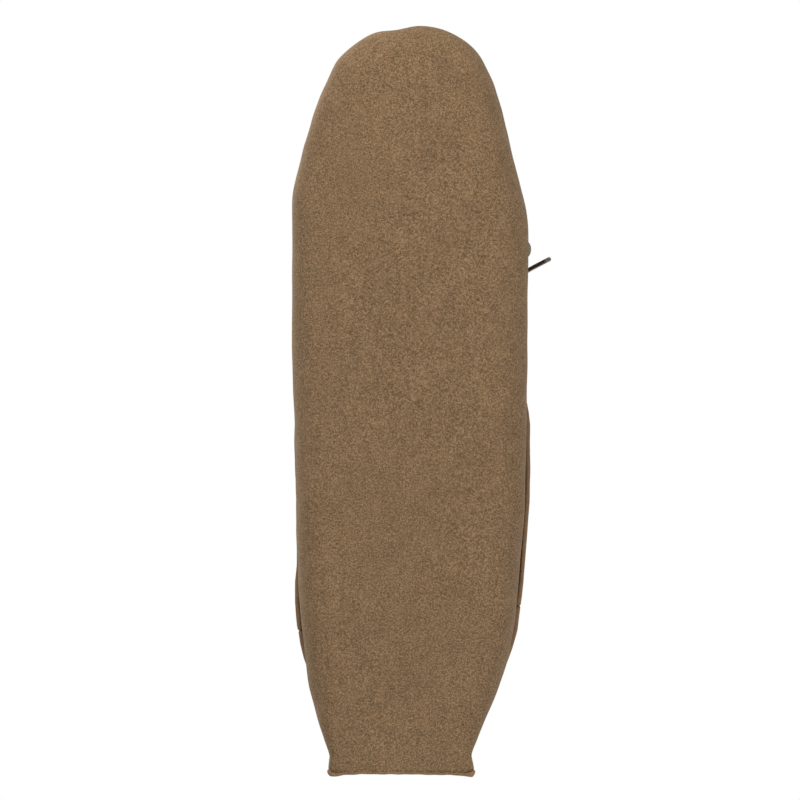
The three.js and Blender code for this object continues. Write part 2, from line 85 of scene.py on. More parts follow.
def spline(P, r):
    """Closed centripetal Catmull-Rom through the rows of P, at row numbers r."""
    r = np.mod(np.asarray(r, float), len(P))
    i = np.floor(r).astype(int)
    t = (r - i)[..., None]
    p0, p1, p2, p3 = (P[(i + k) % len(P)] for k in (-1, 0, 1, 2))
    d = lambda a, b: np.maximum(np.linalg.norm(a - b, axis=-1, keepdims=True), 1e-9) ** 0.5
    d0, d1, d2 = d(p0, p1), d(p1, p2), d(p2, p3)
    m1 = ((p1 - p0) / d0 - (p2 - p0) / (d0 + d1) + (p2 - p1) / d1) * d1
    m2 = ((p2 - p1) / d1 - (p3 - p1) / (d1 + d2) + (p3 - p2) / d2) * d1
    return p1 + m1 * t + (-3 * p1 + 3 * p2 - 2 * m1 - m2) * t**2 + (2 * p1 - 2 * p2 + m1 + m2) * t**3


def waves(p, scale, seed, n=9):
    """Smooth noise from -1 to 1 over points p, in mm, with features about scale mm across."""
    g = np.random.default_rng(seed)
    k = unit(g.normal(size=(n, 3))) * (2 * np.pi / (scale * g.uniform(1.4, 3.2, size=(n, 1))))
    return np.sin(p @ k.T + g.uniform(0, 6.28, n)).sum(-1) / math.sqrt(n) * 0.75


def heelness(r):
    r = np.mod(r, ROWS)
    return 1 - smooth((np.minimum(r, ROWS - r) - 2.5) / 6.5)


def outward(r):
    t = spline(OUTLINE, r + 0.05) - spline(OUTLINE, r - 0.05)
    return unit(np.stack([-t[..., 1], t[..., 0]], -1))


def skin(r, s):
    """The outer skin at rows r and heights s, which broadcast together. s is 0 at the flat, LOW at the widest, 1 at the top edge."""
    r, s = np.broadcast_arrays(np.asarray(r, float), np.asarray(s, float))
    c, e, o, h = spline(OUTLINE, r), spline(EDGE, r), outward(r), heelness(r)
    level, inset = 12 - 10 * h, INSET - (INSET - 1.6) * h
    a = (np.minimum(s, LOW) / LOW - 1) * np.pi / 2
    low = np.concatenate([c - o * (inset * (1 - np.cos(a)))[..., None], (level * (1 + np.sin(a)))[..., None]], -1)
    k = np.clip((s - LOW) / (1 - LOW), 0, 1)[..., None]
    rise = e[..., 2] - level
    p0 = np.concatenate([c, level[..., None]], -1)
    p1 = np.concatenate([c + (e[..., :2] - c) * 0.3 * h[..., None], (level + 0.5 * rise)[..., None]], -1)
    p2 = np.concatenate([e[..., :2] + 0.3 * (c - e[..., :2]), (e[..., 2] - 0.22 * rise)[..., None]], -1)
    high = (1 - k) ** 3 * p0 + 3 * k * (1 - k) ** 2 * p1 + 3 * k**2 * (1 - k) * p2 + k**3 * e
    return np.where((s <= LOW)[..., None], low, high)


def normals(r, s):
    a = skin(r + 0.04, s) - skin(r - 0.04, s)
    b = skin(r, np.minimum(1, s + 0.01)) - skin(r, np.maximum(0, s - 0.01))
    return unit(np.cross(b, a))


_S = np.linspace(1, LOW, 120)


def wall(r, drop):
    """Points and normals drop mm down the wall from its top edge, at rows r. Both are arrays of one shape."""
    r, drop = np.broadcast_arrays(np.asarray(r, float), np.asarray(drop, float))
    line = skin(r[..., None], _S)
    gone = np.concatenate([np.zeros(r.shape + (1,)), np.cumsum(np.linalg.norm(np.diff(line, axis=-2), axis=-1), -1)], -1)
    flat_g, flat_d = gone.reshape(-1, len(_S)), drop.reshape(-1)
    s = np.array([np.interp(d, g, _S) for g, d in zip(flat_g, flat_d)]).reshape(r.shape)
    return skin(r, s), normals(r, np.minimum(s, 0.985)), s


def span(a, b, n):
    return np.linspace(a, b, n)


# ------------------------------------------------------------------ mesh making
def make(name, verts, faces, mats, face_mat=None, body="shoe", attrs=None, smooth_shade=True):
    me = bpy.data.meshes.new(name)
    me.from_pydata((np.asarray(verts) * MM).tolist(), [], [list(map(int, f)) for f in faces])
    for m in mats:
        me.materials.append(m)
    if face_mat is not None:
        me.polygons.foreach_set("material_index", np.asarray(face_mat, np.int32))
    me.polygons.foreach_set("use_smooth", np.full(len(me.polygons), smooth_shade))
    for key, values in (attrs or {}).items():
        me.attributes.new(key, "FLOAT", "POINT").data.foreach_set("value", np.asarray(values, np.float32).ravel())
    me.validate()
    me.update()
    o = bpy.data.objects.new(name, me)
    scene.collection.objects.link(o)
    # every piece faces out
    import bmesh
    bm = bmesh.new()
    bm.from_mesh(me)
    bmesh.ops.recalc_face_normals(bm, faces=bm.faces)
    bm.to_mesh(me)
    bm.free()
    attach(o, body)
    return o


def loft_faces(R, K, closed=False, base=0):
    """Quads over R rings of K points. Open lofts get caps that pair ring point i with K - 1 - i."""
    f = []
    for i in range(R if closed else R - 1):
        a, b = base + i * K, base + ((i + 1) % R) * K
        for j in range(K):
            k = (j + 1) % K
            f.append((a + j, a + k, b + k, b + j))
    if not closed:
        for a in (base, base + (R - 1) * K):
            for j in range(K // 2 - 1):
                f.append((a + j, a + j + 1, a + K - 2 - j, a + K - 1 - j))
    return f


def loft(name, rings, mats, closed=False, **kw):
    R, K = rings.shape[:2]
    return make(name, rings.reshape(-1, 3), loft_faces(R, K, closed), mats, **kw)


def rounded(w, t, corner, n=3):
    """A rounded rectangle section, w across and t thick: an even number of points that pairs i with K - 1 - i across its thickness."""
    c = min(corner, t / 2 * 0.98, w / 2 * 0.98)
    top = []
    for x, a0, a1 in ((-w / 2 + c, np.pi, np.pi / 2), (w / 2 - c, np.pi / 2, 0)):
        for a in np.linspace(a0, a1, n + 1):
            top.append((x + c * math.cos(a), t / 2 - c + c * math.sin(a)))
    mid = [(-w / 2 + c + (w - 2 * c) * k, t / 2) for k in (0.33, 0.67)]
    top = top[: n + 1] + mid + top[n + 1:]
    low = [(x, -y) for x, y in reversed(top)]
    return np.array(top + low)


def frames(path, across):
    t = np.gradient(path, axis=0)
    t = unit(t)
    w = unit(across - (across * t).sum(-1, keepdims=True) * t)
    return t, w, unit(np.cross(w, t))


def ribbon(name, path, across, w, t, mats, corner=0.35, twist=None, body="shoe", taper=True, **kw):
    """A flat strip: grain on its +normal face, flesh on the other, both cut edges dark."""
    T, W, N = frames(path, across)
    sec = rounded(w, t, corner)
    rings = path[:, None] + sec[None, :, :1] * W[:, None] + sec[None, :, 1:] * N[:, None]
    if taper:  # the cut ends are softened
        for i, k in ((0, 0.72), (-1, 0.72)):
            rings[i] = path[i] + (rings[i] - path[i]) * k
    K = len(sec)
    faces = loft_faces(len(rings), K)
    half = K // 2
    fm = [1 if half <= j < K - 1 and len(mats) > 1 else 0 for _ in range(len(rings) - 1) for j in range(K)]
    fm += [0] * (len(faces) - len(fm))
    return make(name, rings.reshape(-1, 3), faces, mats, face_mat=fm, body=body, **kw)


def open_spline(P, n):
    """n points evenly along a smooth open curve through P."""
    P = np.asarray(P, float)
    Q = np.vstack([2 * P[0] - P[1], P, 2 * P[-1] - P[-2], 3 * P[-1] - 2 * P[-2]])
    r = np.linspace(1, len(P), max(400, n * 4))
    r[-1] -= 1e-9
    c = spline(Q, r)
    d = np.concatenate([[0], np.cumsum(np.linalg.norm(np.diff(c, axis=0), axis=1))])
    u = np.linspace(0, d[-1], n)
    return np.stack([np.interp(u, d, c[:, k]) for k in range(3)], -1), np.interp(u, d, (r - 1) / (len(P) - 1))


def tube(path, radius, sides=8, flat=1.0):
    T = unit(np.gradient(path, axis=0))
    ref = np.tile([0.0, 0.0, 1.0], (len(path), 1))
    ref[np.abs(T[:, 2]) > 0.9] = [1, 0, 0]
    U = unit(np.cross(T, ref))
    Vv = np.cross(T, U)
    a = np.arange(sides) / sides * 2 * np.pi + np.pi / sides
    rad = np.asarray(radius) * np.ones(len(path))
    rad[0] *= 0.55
    rad[-1] *= 0.55
    return path[:, None] + rad[:, None, None] * (np.cos(a)[None, :, None] * U[:, None] + flat * np.sin(a)[None, :, None] * Vv[:, None])


def stitches(name, paths, radius, mat, replaces, sides=8):
    verts, faces = [], []
    for p in paths:
        rings = tube(np.asarray(p), radius, sides)
        faces += loft_faces(rings.shape[0], sides, base=len(verts) * 1)
        verts += rings.reshape(-1, 3).tolist()
    o = make(name, verts, faces, [mat])
    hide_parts(*replaces)
    return o


# ------------------------------------------------------------------ materials
def srgb(r, g, b):
    f = lambda c: c / 12.92 if c <= 0.04045 else ((c + 0.055) / 1.055) ** 2.4
    return (f(r / 255), f(g / 255), f(b / 255), 1.0)


class Nodes:
    def __init__(self, name):
        self.m = bpy.data.materials.new(name)
        self.m.use_nodes = True
        self.t = self.m.node_tree
        self.b = self.t.nodes["Principled BSDF"]
        self.co = self.t.nodes.new("ShaderNodeTexCoord").outputs["Object"]

    def link(self, a, b):
        self.t.links.new(a, b)

    def val(self, socket, v):
        if isinstance(v, bpy.types.NodeSocket):
            self.link(v, socket)
        else:
            socket.default_value = v

    def noise(self, scale, detail=3, rough=0.55, stretch=None, distort=0.0, turn=0.0):
        n = self.t.nodes.new("ShaderNodeTexNoise")
        n.inputs["Scale"].default_value = scale
        n.inputs["Detail"].default_value = detail
        n.inputs["Roughness"].default_value = rough
        n.inputs["Distortion"].default_value = distort
        self.link(self.mapped(stretch, turn), n.inputs["Vector"])
        return n.outputs["Fac"]

    def mapped(self, stretch, turn=0.0):
        if stretch is None and not turn:
            return self.co
        m = self.t.nodes.new("ShaderNodeMapping")
        m.inputs["Scale"].default_value = stretch or (1, 1, 1)
        m.inputs["Rotation"].default_value = (0, 0, turn)
        self.link(self.co, m.inputs["Vector"])
        return m.outputs["Vector"]

    def voronoi(self, scale, feature="F1", stretch=None, out="Distance"):
        n = self.t.nodes.new("ShaderNodeTexVoronoi")
        n.feature = feature
        n.inputs["Scale"].default_value = scale
        self.link(self.mapped(stretch), n.inputs["Vector"])
        return n.outputs[out]

    def attr(self, name):
        n = self.t.nodes.new("ShaderNodeAttribute")
        n.attribute_name = name
        return n.outputs["Fac"]

    def math(self, op, a, b=0.0, c=0.0):
        n = self.t.nodes.new("ShaderNodeMath")
        n.operation = op
        for i, v in enumerate((a, b, c)):
            self.val(n.inputs[i], v)
        return n.outputs[0]

    def ramp(self, fac, lo, hi, a=0.0, b=1.0):
        n = self.t.nodes.new("ShaderNodeMapRange")
        n.clamp = True
        self.val(n.inputs["Value"], fac)
        for k, v in (("From Min", lo), ("From Max", hi), ("To Min", a), ("To Max", b)):
            n.inputs[k].default_value = v
        return n.outputs["Result"]

    def mix(self, fac, a, b, mode="MIX"):
        n = self.t.nodes.new("ShaderNodeMix")
        n.data_type = "RGBA"
        n.blend_type = mode
        self.val(n.inputs["Factor"], fac)
        ins = [i for i in n.inputs if i.type == "RGBA"]
        self.val(ins[0], a)
        self.val(ins[1], b)
        return [o for o in n.outputs if o.type == "RGBA"][0]

    def bump(self, height, strength, distance, under=None):
        n = self.t.nodes.new("ShaderNodeBump")
        n.inputs["Strength"].default_value = strength
        n.inputs["Distance"].default_value = distance
        self.link(height, n.inputs["Height"])
        if under is not None:
            self.link(under, n.inputs["Normal"])
        return n.outputs["Normal"]


def suede(name, base, grain=1.0, light=1.0, edge=None):
    """Brushed suede: short nap that catches light in specks, soft mottling, paler rubbed edges and raised ridges, a
    painted highlight along one side of the sole's rim, and painted shade darkening creases.
    """
    n = Nodes(name)
    r, g, b = base
    mid = srgb(r * light, g * light, b * light)
    dark = srgb(r * light * 0.64, g * light * 0.62, b * light * 0.57)
    pale = srgb(min(255, r * light * 1.38), min(255, g * light * 1.38), min(255, b * light * 1.40))
    fine = n.noise(1950, 1.5, 0.55, distort=0.7)
    specks = n.noise(2900, 1.0, 0.5)
    broad = n.noise(60, 3, 0.6)
    patch = n.noise(240, 2, 0.6, stretch=(1.0, 0.55, 1.0), turn=0.35)
    speck = n.math("ADD", n.math("MULTIPLY", fine, 0.62), n.math("MULTIPLY", specks, 0.38))
    col = n.mix(n.ramp(speck, 0.40, 0.50, 0.70 * grain, 0.0), mid, dark)
    col = n.mix(n.ramp(speck, 0.50, 0.60, 0.0, 0.64 * grain), col, pale)
    col = n.mix(n.ramp(broad, 0.35, 0.68, 0.18, 0.0), col, dark)
    col = n.mix(n.ramp(patch, 0.45, 0.72, 0.0, 0.12), col, pale)
    # paler where rubbed and on raised ridges, plus the painted highlight along the sole's left rim
    col = n.mix(n.math("MULTIPLY", n.attr("wear_and_highlight"), 0.55), col, pale)
    # painted shade: darker in sunken folds, stitch tucks and the heel lip's groove
    col = n.mix(n.math("MULTIPLY", n.attr("painted_crease_shade"), 0.75), col, srgb(r * 0.5, g * 0.47, b * 0.43))
    n.link(col, n.b.inputs["Base Color"])
    n.link(n.ramp(speck, 0.3, 0.7, 0.98, 0.86), n.b.inputs["Roughness"])
    n.b.inputs["Specular IOR Level"].default_value = 0.12
    n.b.inputs["Sheen Weight"].default_value = 0.22
    n.b.inputs["Sheen Roughness"].default_value = 0.45
    n.b.inputs["Sheen Tint"].default_value = srgb(226, 205, 178)
    soft = n.bump(patch, 0.25, 0.0006)
    n.link(n.bump(speck, 0.8, 0.0005, soft), n.b.inputs["Normal"])
    return n.m


def thread_mat():
    n = Nodes("waxed_thread")
    fibre = n.noise(2600, 3, 0.6)
    twist = n.noise(1500, 1, 0.5, stretch=(1, 2.2, 1), distort=1.2)
    col = n.mix(n.ramp(fibre, 0.35, 0.7), srgb(84, 63, 46), srgb(128, 100, 74))
    n.link(n.mix(n.ramp(twist, 0.4, 0.62, 0.45, 0), col, srgb(56, 41, 30)), n.b.inputs["Base Color"])
    n.link(n.ramp(fibre, 0.3, 0.7, 0.5, 0.72), n.b.inputs["Roughness"])
    n.link(n.bump(twist, 0.6, 0.0003), n.b.inputs["Normal"])
    return n.m


def lace_mat():
    n = Nodes("lace_grain_leather")
    pores = n.voronoi(2400, "SMOOTH_F1")
    broad = n.noise(160, 4, 0.6)
    fine = n.noise(1800, 2, 0.5)
    col = n.mix(n.ramp(broad, 0.35, 0.7), srgb(36, 30, 30), srgb(62, 50, 46))
    col = n.mix(n.ramp(fine, 0.55, 0.75, 0, 0.35), col, srgb(96, 82, 76))
    n.link(n.mix(n.math("MULTIPLY", n.attr("wear_and_highlight"), 0.8), col, srgb(116, 106, 104)), n.b.inputs["Base Color"])
    n.link(n.ramp(broad, 0.3, 0.7, 0.42, 0.62), n.b.inputs["Roughness"])
    n.b.inputs["Specular IOR Level"].default_value = 0.4
    n.link(n.bump(pores, 0.35, 0.0002, n.bump(broad, 0.3, 0.0004)), n.b.inputs["Normal"])
    return n.m


def flesh_mat():
    n = Nodes("lace_flesh_side")
    fuzz = n.noise(2200, 3, 0.65, distort=0.5)
    broad = n.noise(200, 3, 0.6)
    col = n.mix(n.ramp(fuzz, 0.35, 0.68), srgb(128, 112, 98), srgb(176, 160, 142))
    n.link(n.mix(n.ramp(broad, 0.4, 0.7, 0, 0.3), col, srgb(104, 88, 76)), n.b.inputs["Base Color"])
    n.link(n.ramp(fuzz, 0.3, 0.7, 0.95, 0.85), n.b.inputs["Roughness"])
    n.b.inputs["Sheen Weight"].default_value = 0.15
    n.link(n.bump(fuzz, 0.5, 0.0003), n.b.inputs["Normal"])
    return n.m


def lining_mat():
    n = Nodes("sock_lining_leather")
    pores = n.voronoi(1500, "SMOOTH_F1")
    broad = n.noise(45, 4, 0.6)
    fine = n.noise(900, 3, 0.6)
    col = n.mix(n.ramp(broad, 0.35, 0.7), srgb(178, 150, 116), srgb(198, 172, 138))
    col = n.mix(n.ramp(fine, 0.5, 0.72, 0, 0.3), col, srgb(156, 128, 96))
    # painted shade along the lining's lower edge
    n.link(n.mix(n.math("MULTIPLY", n.attr("painted_crease_shade"), 0.6), col, srgb(120, 96, 70)), n.b.inputs["Base Color"])
    n.link(n.ramp(broad, 0.3, 0.7, 0.62, 0.78), n.b.inputs["Roughness"])
    n.link(n.bump(pores, 0.3, 0.0003), n.b.inputs["Normal"])
    return n.m


def foam_mat():
    n = Nodes("insole_foam")
    cells = n.voronoi(1300, "F1")
    broad = n.noise(80, 3, 0.6)
    n.link(n.mix(n.ramp(broad, 0.35, 0.7), srgb(206, 194, 172), srgb(224, 214, 194)), n.b.inputs["Base Color"])
    n.link(n.ramp(cells, 0, 0.6, 0.98, 0.85), n.b.inputs["Roughness"])
    n.link(n.bump(cells, 0.6, 0.0005), n.b.inputs["Normal"])
    return n.m


TAUPE = (128, 103, 76)
M_BODY = suede("suede_body", TAUPE)
M_PLUG = suede("suede_plug", (130, 105, 78))
M_CUFF = suede("suede_cuff", (124, 99, 74))
M_TONGUE = suede("suede_tongue", (126, 101, 75), grain=1.1)
M_INSIDE = suede("suede_inside", (146, 120, 92), grain=0.8)
M_THREAD, M_LACE, M_FLESH, M_LINING, M_FOAM = thread_mat(), lace_mat(), flesh_mat(), lining_mat(), foam_mat()

# ------------------------------------------------------------------ the camera, below the sole
cam = bpy.data.objects.new("camera", bpy.data.cameras.new("camera"))
scene.collection.objects.link(cam)
scene.camera = cam
cam.data.lens, cam.data.sensor_width = 200, 36
cam.data.clip_start, cam.data.clip_end = 0.05, 20
D = 0.2674 * 200 / 36
cam.location = (-0.00368, -0.00017, 0.012 - D)
cam.rotation_euler = (math.pi, 0, 0)
# looking up: image up is the toe (-Y), image right is +X

# ------------------------------------------------------------------ the body: sole and walls
N = 760
R = np.arange(N) / N * ROWS
SV = np.concatenate([span(0, LOW, 16)[:-1], span(LOW, 1, 44)])


def toe_weight(r):
    """1 round the gathered toe, 0 by the throat on both sides."""
    return smooth((r - 17.0) / 4.0) * smooth((38.0 - r) / 4.0)


seam_len = np.concatenate([[0], np.cumsum(np.linalg.norm(np.diff(spline(EDGE, span(0, ROWS, 5401)), axis=0), axis=1))])


def seam_pos(r):
    """Distance along the upper edge, in mm, at row r."""
    return np.interp(np.mod(r, ROWS), span(0, ROWS, 5401), seam_len)


STITCH = 4.3  # spacing of the plug seam's stitches


def pleats(r, s):
    r, s = np.broadcast_arrays(r, s)
    u = seam_pos(r) / STITCH
    gather = 1 - 1.55 * np.abs(np.cos(np.pi * u)) ** 2.2  # a tuck at each stitch, a soft ridge between
    wide = np.sin(2 * np.pi * (u / 3.1 + 0.22 * np.sin(u * 0.7)) + 0.8) + 0.5 * np.sin(2 * np.pi * u / 1.9 + 2.1)
    near = smooth((s - 0.55) / 0.42)
    mid = smooth((s - 0.22) / 0.35) * (1 - 0.55 * smooth((s - 0.7) / 0.3))
    return toe_weight(r) * (0.62 * gather * near ** 1.3 + 0.42 * wide * mid)


rr, ss = np.meshgrid(R, SV, indexing="ij")
P = skin(rr, ss)
Nn = normals(rr, np.clip(ss, 0.012, 0.985))
low_n = smooth(ss / 0.06)[..., None]
Nn = unit(Nn * low_n + np.array([0, 0, -1.0]) * (1 - low_n))
h = heelness(rr)
lift = pleats(rr, ss)
lift = lift + (0.42 * waves(P, 21, 1) + 0.18 * waves(P, 8, 2)) * smooth((ss - 0.12) / 0.3) * (1 - 0.5 * toe_weight(rr))
# long soft rolls where the walls meet the sole, and crumples by the heel corners
corner_d = np.minimum(np.abs(np.mod(rr, ROWS) - 3.0), np.abs(np.mod(rr, ROWS) - (ROWS - 2.5)))
lift = lift + 0.3 * np.exp(-((corner_d / 1.8) ** 2)) * np.sin(P[..., 2] * 0.42 + 1.6 * waves(P, 12, 5)) * smooth((ss - 0.34) / 0.2) * (1 - smooth((ss - 0.7) / 0.2))
outer = P + Nn * lift[..., None]
outer[..., 1] += 0.6 * smooth((P[..., 1] - 119.5) / 3) * (1 - smooth((P[..., 2] - 2.5) / 4))
outer[..., 2] = np.maximum(outer[..., 2], 0.02)
# under the tight heel ears the flat's corner is eased round, so that it doesn't fold over itself
ease = (np.exp(-((corner_d / 1.3) ** 2)) * np.sqrt(np.clip(1 - ss / LOW, 0, 1)))[:, :16, None]
for _ in range(70):
    low_xy = outer[:, :16, :2]
    outer[:, :16, :2] = low_xy + ease * 0.5 * (0.5 * np.roll(low_xy, 1, 0) + 0.5 * np.roll(low_xy, -1, 0) - low_xy)
# normals again from the displaced skin
dr = np.roll(outer, -1, 0) - np.roll(outer, 1, 0)
ds = np.gradient(outer, axis=1)
N2 = unit(np.cross(ds, dr))
flip = (N2 * Nn).sum(-1, keepdims=True) < 0
N2 = np.where(flip, -N2, N2)
N2 = unit(N2 * low_n + np.array([0, 0, -1.0]) * (1 - low_n))
inner = P - Nn * LEATHER
inner = inner + Nn * (np.minimum(lift, 0) * 0.9)[..., None]
# by the tight heel ears the inner face keeps inside the outer one
into = unit(np.stack([np.clip(P[..., 0], -16, 11), np.clip(P[..., 1], -90, 112)], -1) - P[..., :2])
low_heel = (smooth(h * 2) * (1 - smooth((P[..., 2] - 5) / 6)))[..., None]
inner[..., :2] = inner[..., :2] * (1 - low_heel) + (P[..., :2] + into * LEATHER) * low_heel
inner[..., 2] = np.maximum(inner[..., 2], 1.0)
inner[:, 0, 2] = LEATHER
# the top rim is rounded by two extra rings
rim = outer[:, -1] * 0.5 + inner[:, -1] * 0.5
up = unit(outer[:, -1] - outer[:, -2])
rim_a = outer[:, -1] * 0.8 + inner[:, -1] * 0.2 + up * 0.35
rim_b = outer[:, -1] * 0.2 + inner[:, -1] * 0.8 + up * 0.35
M = len(SV)
col = np.concatenate([outer, rim_a[:, None], rim_b[:, None], inner[:, ::-1]], axis=1)  # (N, 2M+2)
K = col.shape[1]
verts = col.reshape(-1, 3).tolist()
faces = [(i * K + j, i * K + j + 1, ((i + 1) % N) * K + j + 1, ((i + 1) % N) * K + j) for i in range(N) for j in range(K - 1)]
J, K0 = 26, 50


def floor_grid(ring_index, shape):
    """Fills the flat of the sole in strips across, from column k to column N - k, and the straight heel end from its edge to the first strip."""
    ids = {}
    ring = col[:, ring_index]
    for k in range(K0, N // 2):
        a, b = ring[k], ring[N - k]
        ids[k, 0], ids[k, J] = k * K + ring_index, (N - k) * K + ring_index
        for j in range(1, J):
            t = j / J
            p = a * (1 - t) + b * t
            ids[k, j] = len(verts)
            verts.append((p + shape(p)).tolist())
    for k in range(K0, N // 2 - 1):
        for j in range(J):
            faces.append((ids[k, j], ids[k, j + 1], ids[k + 1, j + 1], ids[k + 1, j]))
    e = (N // 2) * K + ring_index
    for j in range(J):
        faces.append((e, ids[N // 2 - 1, j], ids[N // 2 - 1, j + 1]))
    edge = [((K0 - i) % N) * K + ring_index for i in range(2 * K0 + 1)]
    i = j = 0
    while i < 2 * K0 or j < J:
        if j == J or (i < 2 * K0 and verts[edge[i + 1]][0] >= verts[ids[K0, j + 1]][0]):
            if edge[i + 1] != ids[K0, j]:
                faces.append((edge[i], edge[i + 1], ids[K0, j]))
            i += 1
        else:
            if edge[i] != ids[K0, j] and edge[i] != ids[K0, j + 1]:
                faces.append((edge[i], ids[K0, j + 1], ids[K0, j]))
            elif edge[i] == ids[K0, j]:
                faces.append((edge[i], edge[i + 1], ids[K0, j + 1]))
                i += 1
            j += 1


def undulate(p):
    w = waves(p[None], 30, 11)[0] * 0.5 + 0.5
    return np.array([0, 0, 0.22 * w * smooth((121.5 - p[1]) / 9) * smooth((p[1] + 117.0) / 9)])


floor_grid(0, undulate)
floor_grid(K - 1, lambda p: np.array([0, 0, 0.0]))
V3 = np.array(verts)
wear_and_highlight = np.zeros(len(V3))
painted_crease_shade = np.zeros(len(V3))
ridge = np.clip(lift, 0, 1)
wear_highlight_grid = np.zeros((N, K))
crease_shade_grid = np.zeros((N, K))
# paler on raised ridges, and a painted highlight along the sole's rim on the left side (x < 0), where the light falls
wear_highlight_grid[:, :M] = 0.45 * ridge + 0.22 * np.exp(-(((ss - 0.8 * LOW) / 0.07) ** 2)) * smooth(-outer[..., 0] / 12)
wear_highlight_grid[:, M - 1:M + 3] = 0.55
# painted shade darkens the sunken folds
crease_shade_grid[:, :M] = np.clip(-lift - 0.25, 0, 1) * 0.9
wear_and_highlight[: N * K] = wear_highlight_grid.ravel()
painted_crease_shade[: N * K] = crease_shade_grid.ravel()
face_mat = [1 if i < N * (K - 1) and (i % (K - 1)) > M + 1 else 0 for i in range(len(faces))]
body = make("suede_sole_and_walls", V3, faces, [M_BODY, M_INSIDE], face_mat=face_mat, attrs={"wear_and_highlight": wear_and_highlight, "painted_crease_shade": painted_crease_shade})
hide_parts("moccasin_body")

# ------------------------------------------------------------------ the raised heel seam and its ears
xs = span(-27.9, 21.3, 150)
u = (xs - xs[0]) / (xs[-1] - xs[0])
end = np.exp(-((u / 0.035) ** 2)) + np.exp(-(((1 - u) / 0.035) ** 2))
near_end = np.exp(-((u / 0.10) ** 2)) + np.exp(-(((1 - u) / 0.10) ** 2))
half_t = 0.72 + 0.60 * end + 0.05 * np.sin(xs * 1.7)
lip_y = np.interp(xs, [-27.9, -26.6, -25.0, -22.5, -19.0, 0.0, 12.0, 18.0, 20.3, 21.3], [124.4, 124.9, 124.9, 124.25, 124.15, 124.2, 124.4, 124.75, 124.95, 124.5])
base = np.stack([xs, lip_y - half_t + 0.04 * np.sin(xs * 1.3 + 1), np.full_like(xs, 2.3)], -1)
half_h = 2.1 + 0.8 * end + 0.2 * np.sin(xs * 0.7 + 0.5)
tip = np.sqrt(np.clip(1 - (1 - np.clip(np.minimum(u, 1 - u) / 0.028, 0, 1)) ** 2, 0.02, 1))
a = np.arange(20) / 20 * 2 * np.pi + np.pi / 20
prof = np.sign(np.cos(a)) * np.abs(np.cos(a)) ** 0.95, np.sign(np.sin(a)) * np.abs(np.sin(a)) ** 0.95
rings = np.zeros((len(xs), 20, 3))
rings[..., 0] = base[:, None, 0]
rings[..., 1] = base[:, None, 1] + (half_t * tip)[:, None] * prof[0][None]
rings[..., 2] = base[:, None, 2] + (half_h * tip)[:, None] * prof[1][None]
rings += 0.13 * waves(rings, 3.4, 21)[..., None] * np.array([0.6, 1, 1])
# the two leathers show as a groove along the lip's outer face
groove = np.exp(-(((prof[1][None] * half_h[:, None]) / 0.35) ** 2)) * (prof[0][None] > 0)
rings[..., 1] -= 0.32 * groove
rings[..., 2] = np.maximum(rings[..., 2], 0.05)
# painted shade darkens the groove along the lip's outer face
lip = loft("heel_seam_lip", rings, [M_BODY], attrs={"wear_and_highlight": np.broadcast_to(0.35 + 0.3 * (prof[0] > 0.5), rings.shape[:2]), "painted_crease_shade": np.clip(groove * 0.8, 0, 1)})

# ------------------------------------------------------------------ the plug
PLUG_LIFT = GAP + 0.25


def plug_point(v, w, up=0.0):
    v, w, up = np.broadcast_arrays(np.asarray(v, float), np.asarray(w, float), np.asarray(up, float))
    r = spline(EDGE, TOE - (TOE - THROAT_R) * v)
    l = spline(EDGE, TOE + (THROAT_L - TOE) * v)
    p = r + (l - r) * w[..., None]
    q = np.clip(1 - (2 * w - 1) ** 2, 0, 1)
    rise = 1.5 + 8.2 * v**0.7
    p[..., 2] += rise * q**0.75 * smooth(v / 0.42 + 0.05) + up
    p[..., 1] += 3.5 * v * v * q
    return p


NV, NW = 150, 110
vs = 0.003 + (1 - 0.003) * span(0, 1, NV) ** 1.25
ws = 0.5 - 0.5 * np.cos(np.pi * span(0, 1, NW))
vv, ww = np.meshgrid(vs, ws, indexing="ij")
top = plug_point(vv, ww)
g1, g2 = np.gradient(top, axis=0), np.gradient(top, axis=1)
pn = unit(np.cross(g1, g2))
pn = np.where(pn[..., 2:] < 0, -pn, pn)
# distance in from the seam, in mm, along the surface
lineL = np.linalg.norm(np.diff(top, axis=1), axis=-1)
dw = np.concatenate([np.zeros((NV, 1)), np.cumsum(lineL, 1)], 1)
d_side = np.minimum(dw, dw[:, -1:] - dw)
d_toe = np.linalg.norm(top - top[:1, NW // 2:NW // 2 + 1], axis=-1) * 0 + np.concatenate([[0], np.cumsum(np.linalg.norm(np.diff(top[:, NW // 2], axis=0), axis=1))])[:, None]
edge_d = np.minimum(d_side, np.maximum(d_toe, 0.0) + 0.0 * d_side)
row_side = np.where(ww < 0.5, TOE - (TOE - THROAT_R) * vv, TOE + (THROAT_L - TOE) * vv)
uu = seam_pos(row_side) / STITCH
pull = np.exp(-((edge_d / 3.4) ** 2))
tuck = (np.abs(np.cos(np.pi * uu)) ** 3) * pull
bulge = np.exp(-(((edge_d - 4.2) / 3.2) ** 2))
plift = 0.55 * bulge - 0.55 * tuck + 0.28 * waves(top, 18, 31) * smooth(edge_d / 8) + 0.12 * waves(top, 6, 32)
t_top = top + pn * (PLUG_LIFT + PLUG_LEATHER + plift)[..., None]
t_low = top + pn * (PLUG_LIFT + np.minimum(plift, 0.2) - 0.8 * np.exp(-((edge_d / 2.6) ** 2)))[..., None]
edge_mid = (t_top[:, :1] + t_low[:, :1]) / 2, (t_top[:, -1:] + t_low[:, -1:]) / 2
out0, out1 = unit(t_top[:, :1] - t_top[:, 1:2]) * 0.45, unit(t_top[:, -1:] - t_top[:, -2:-1]) * 0.45
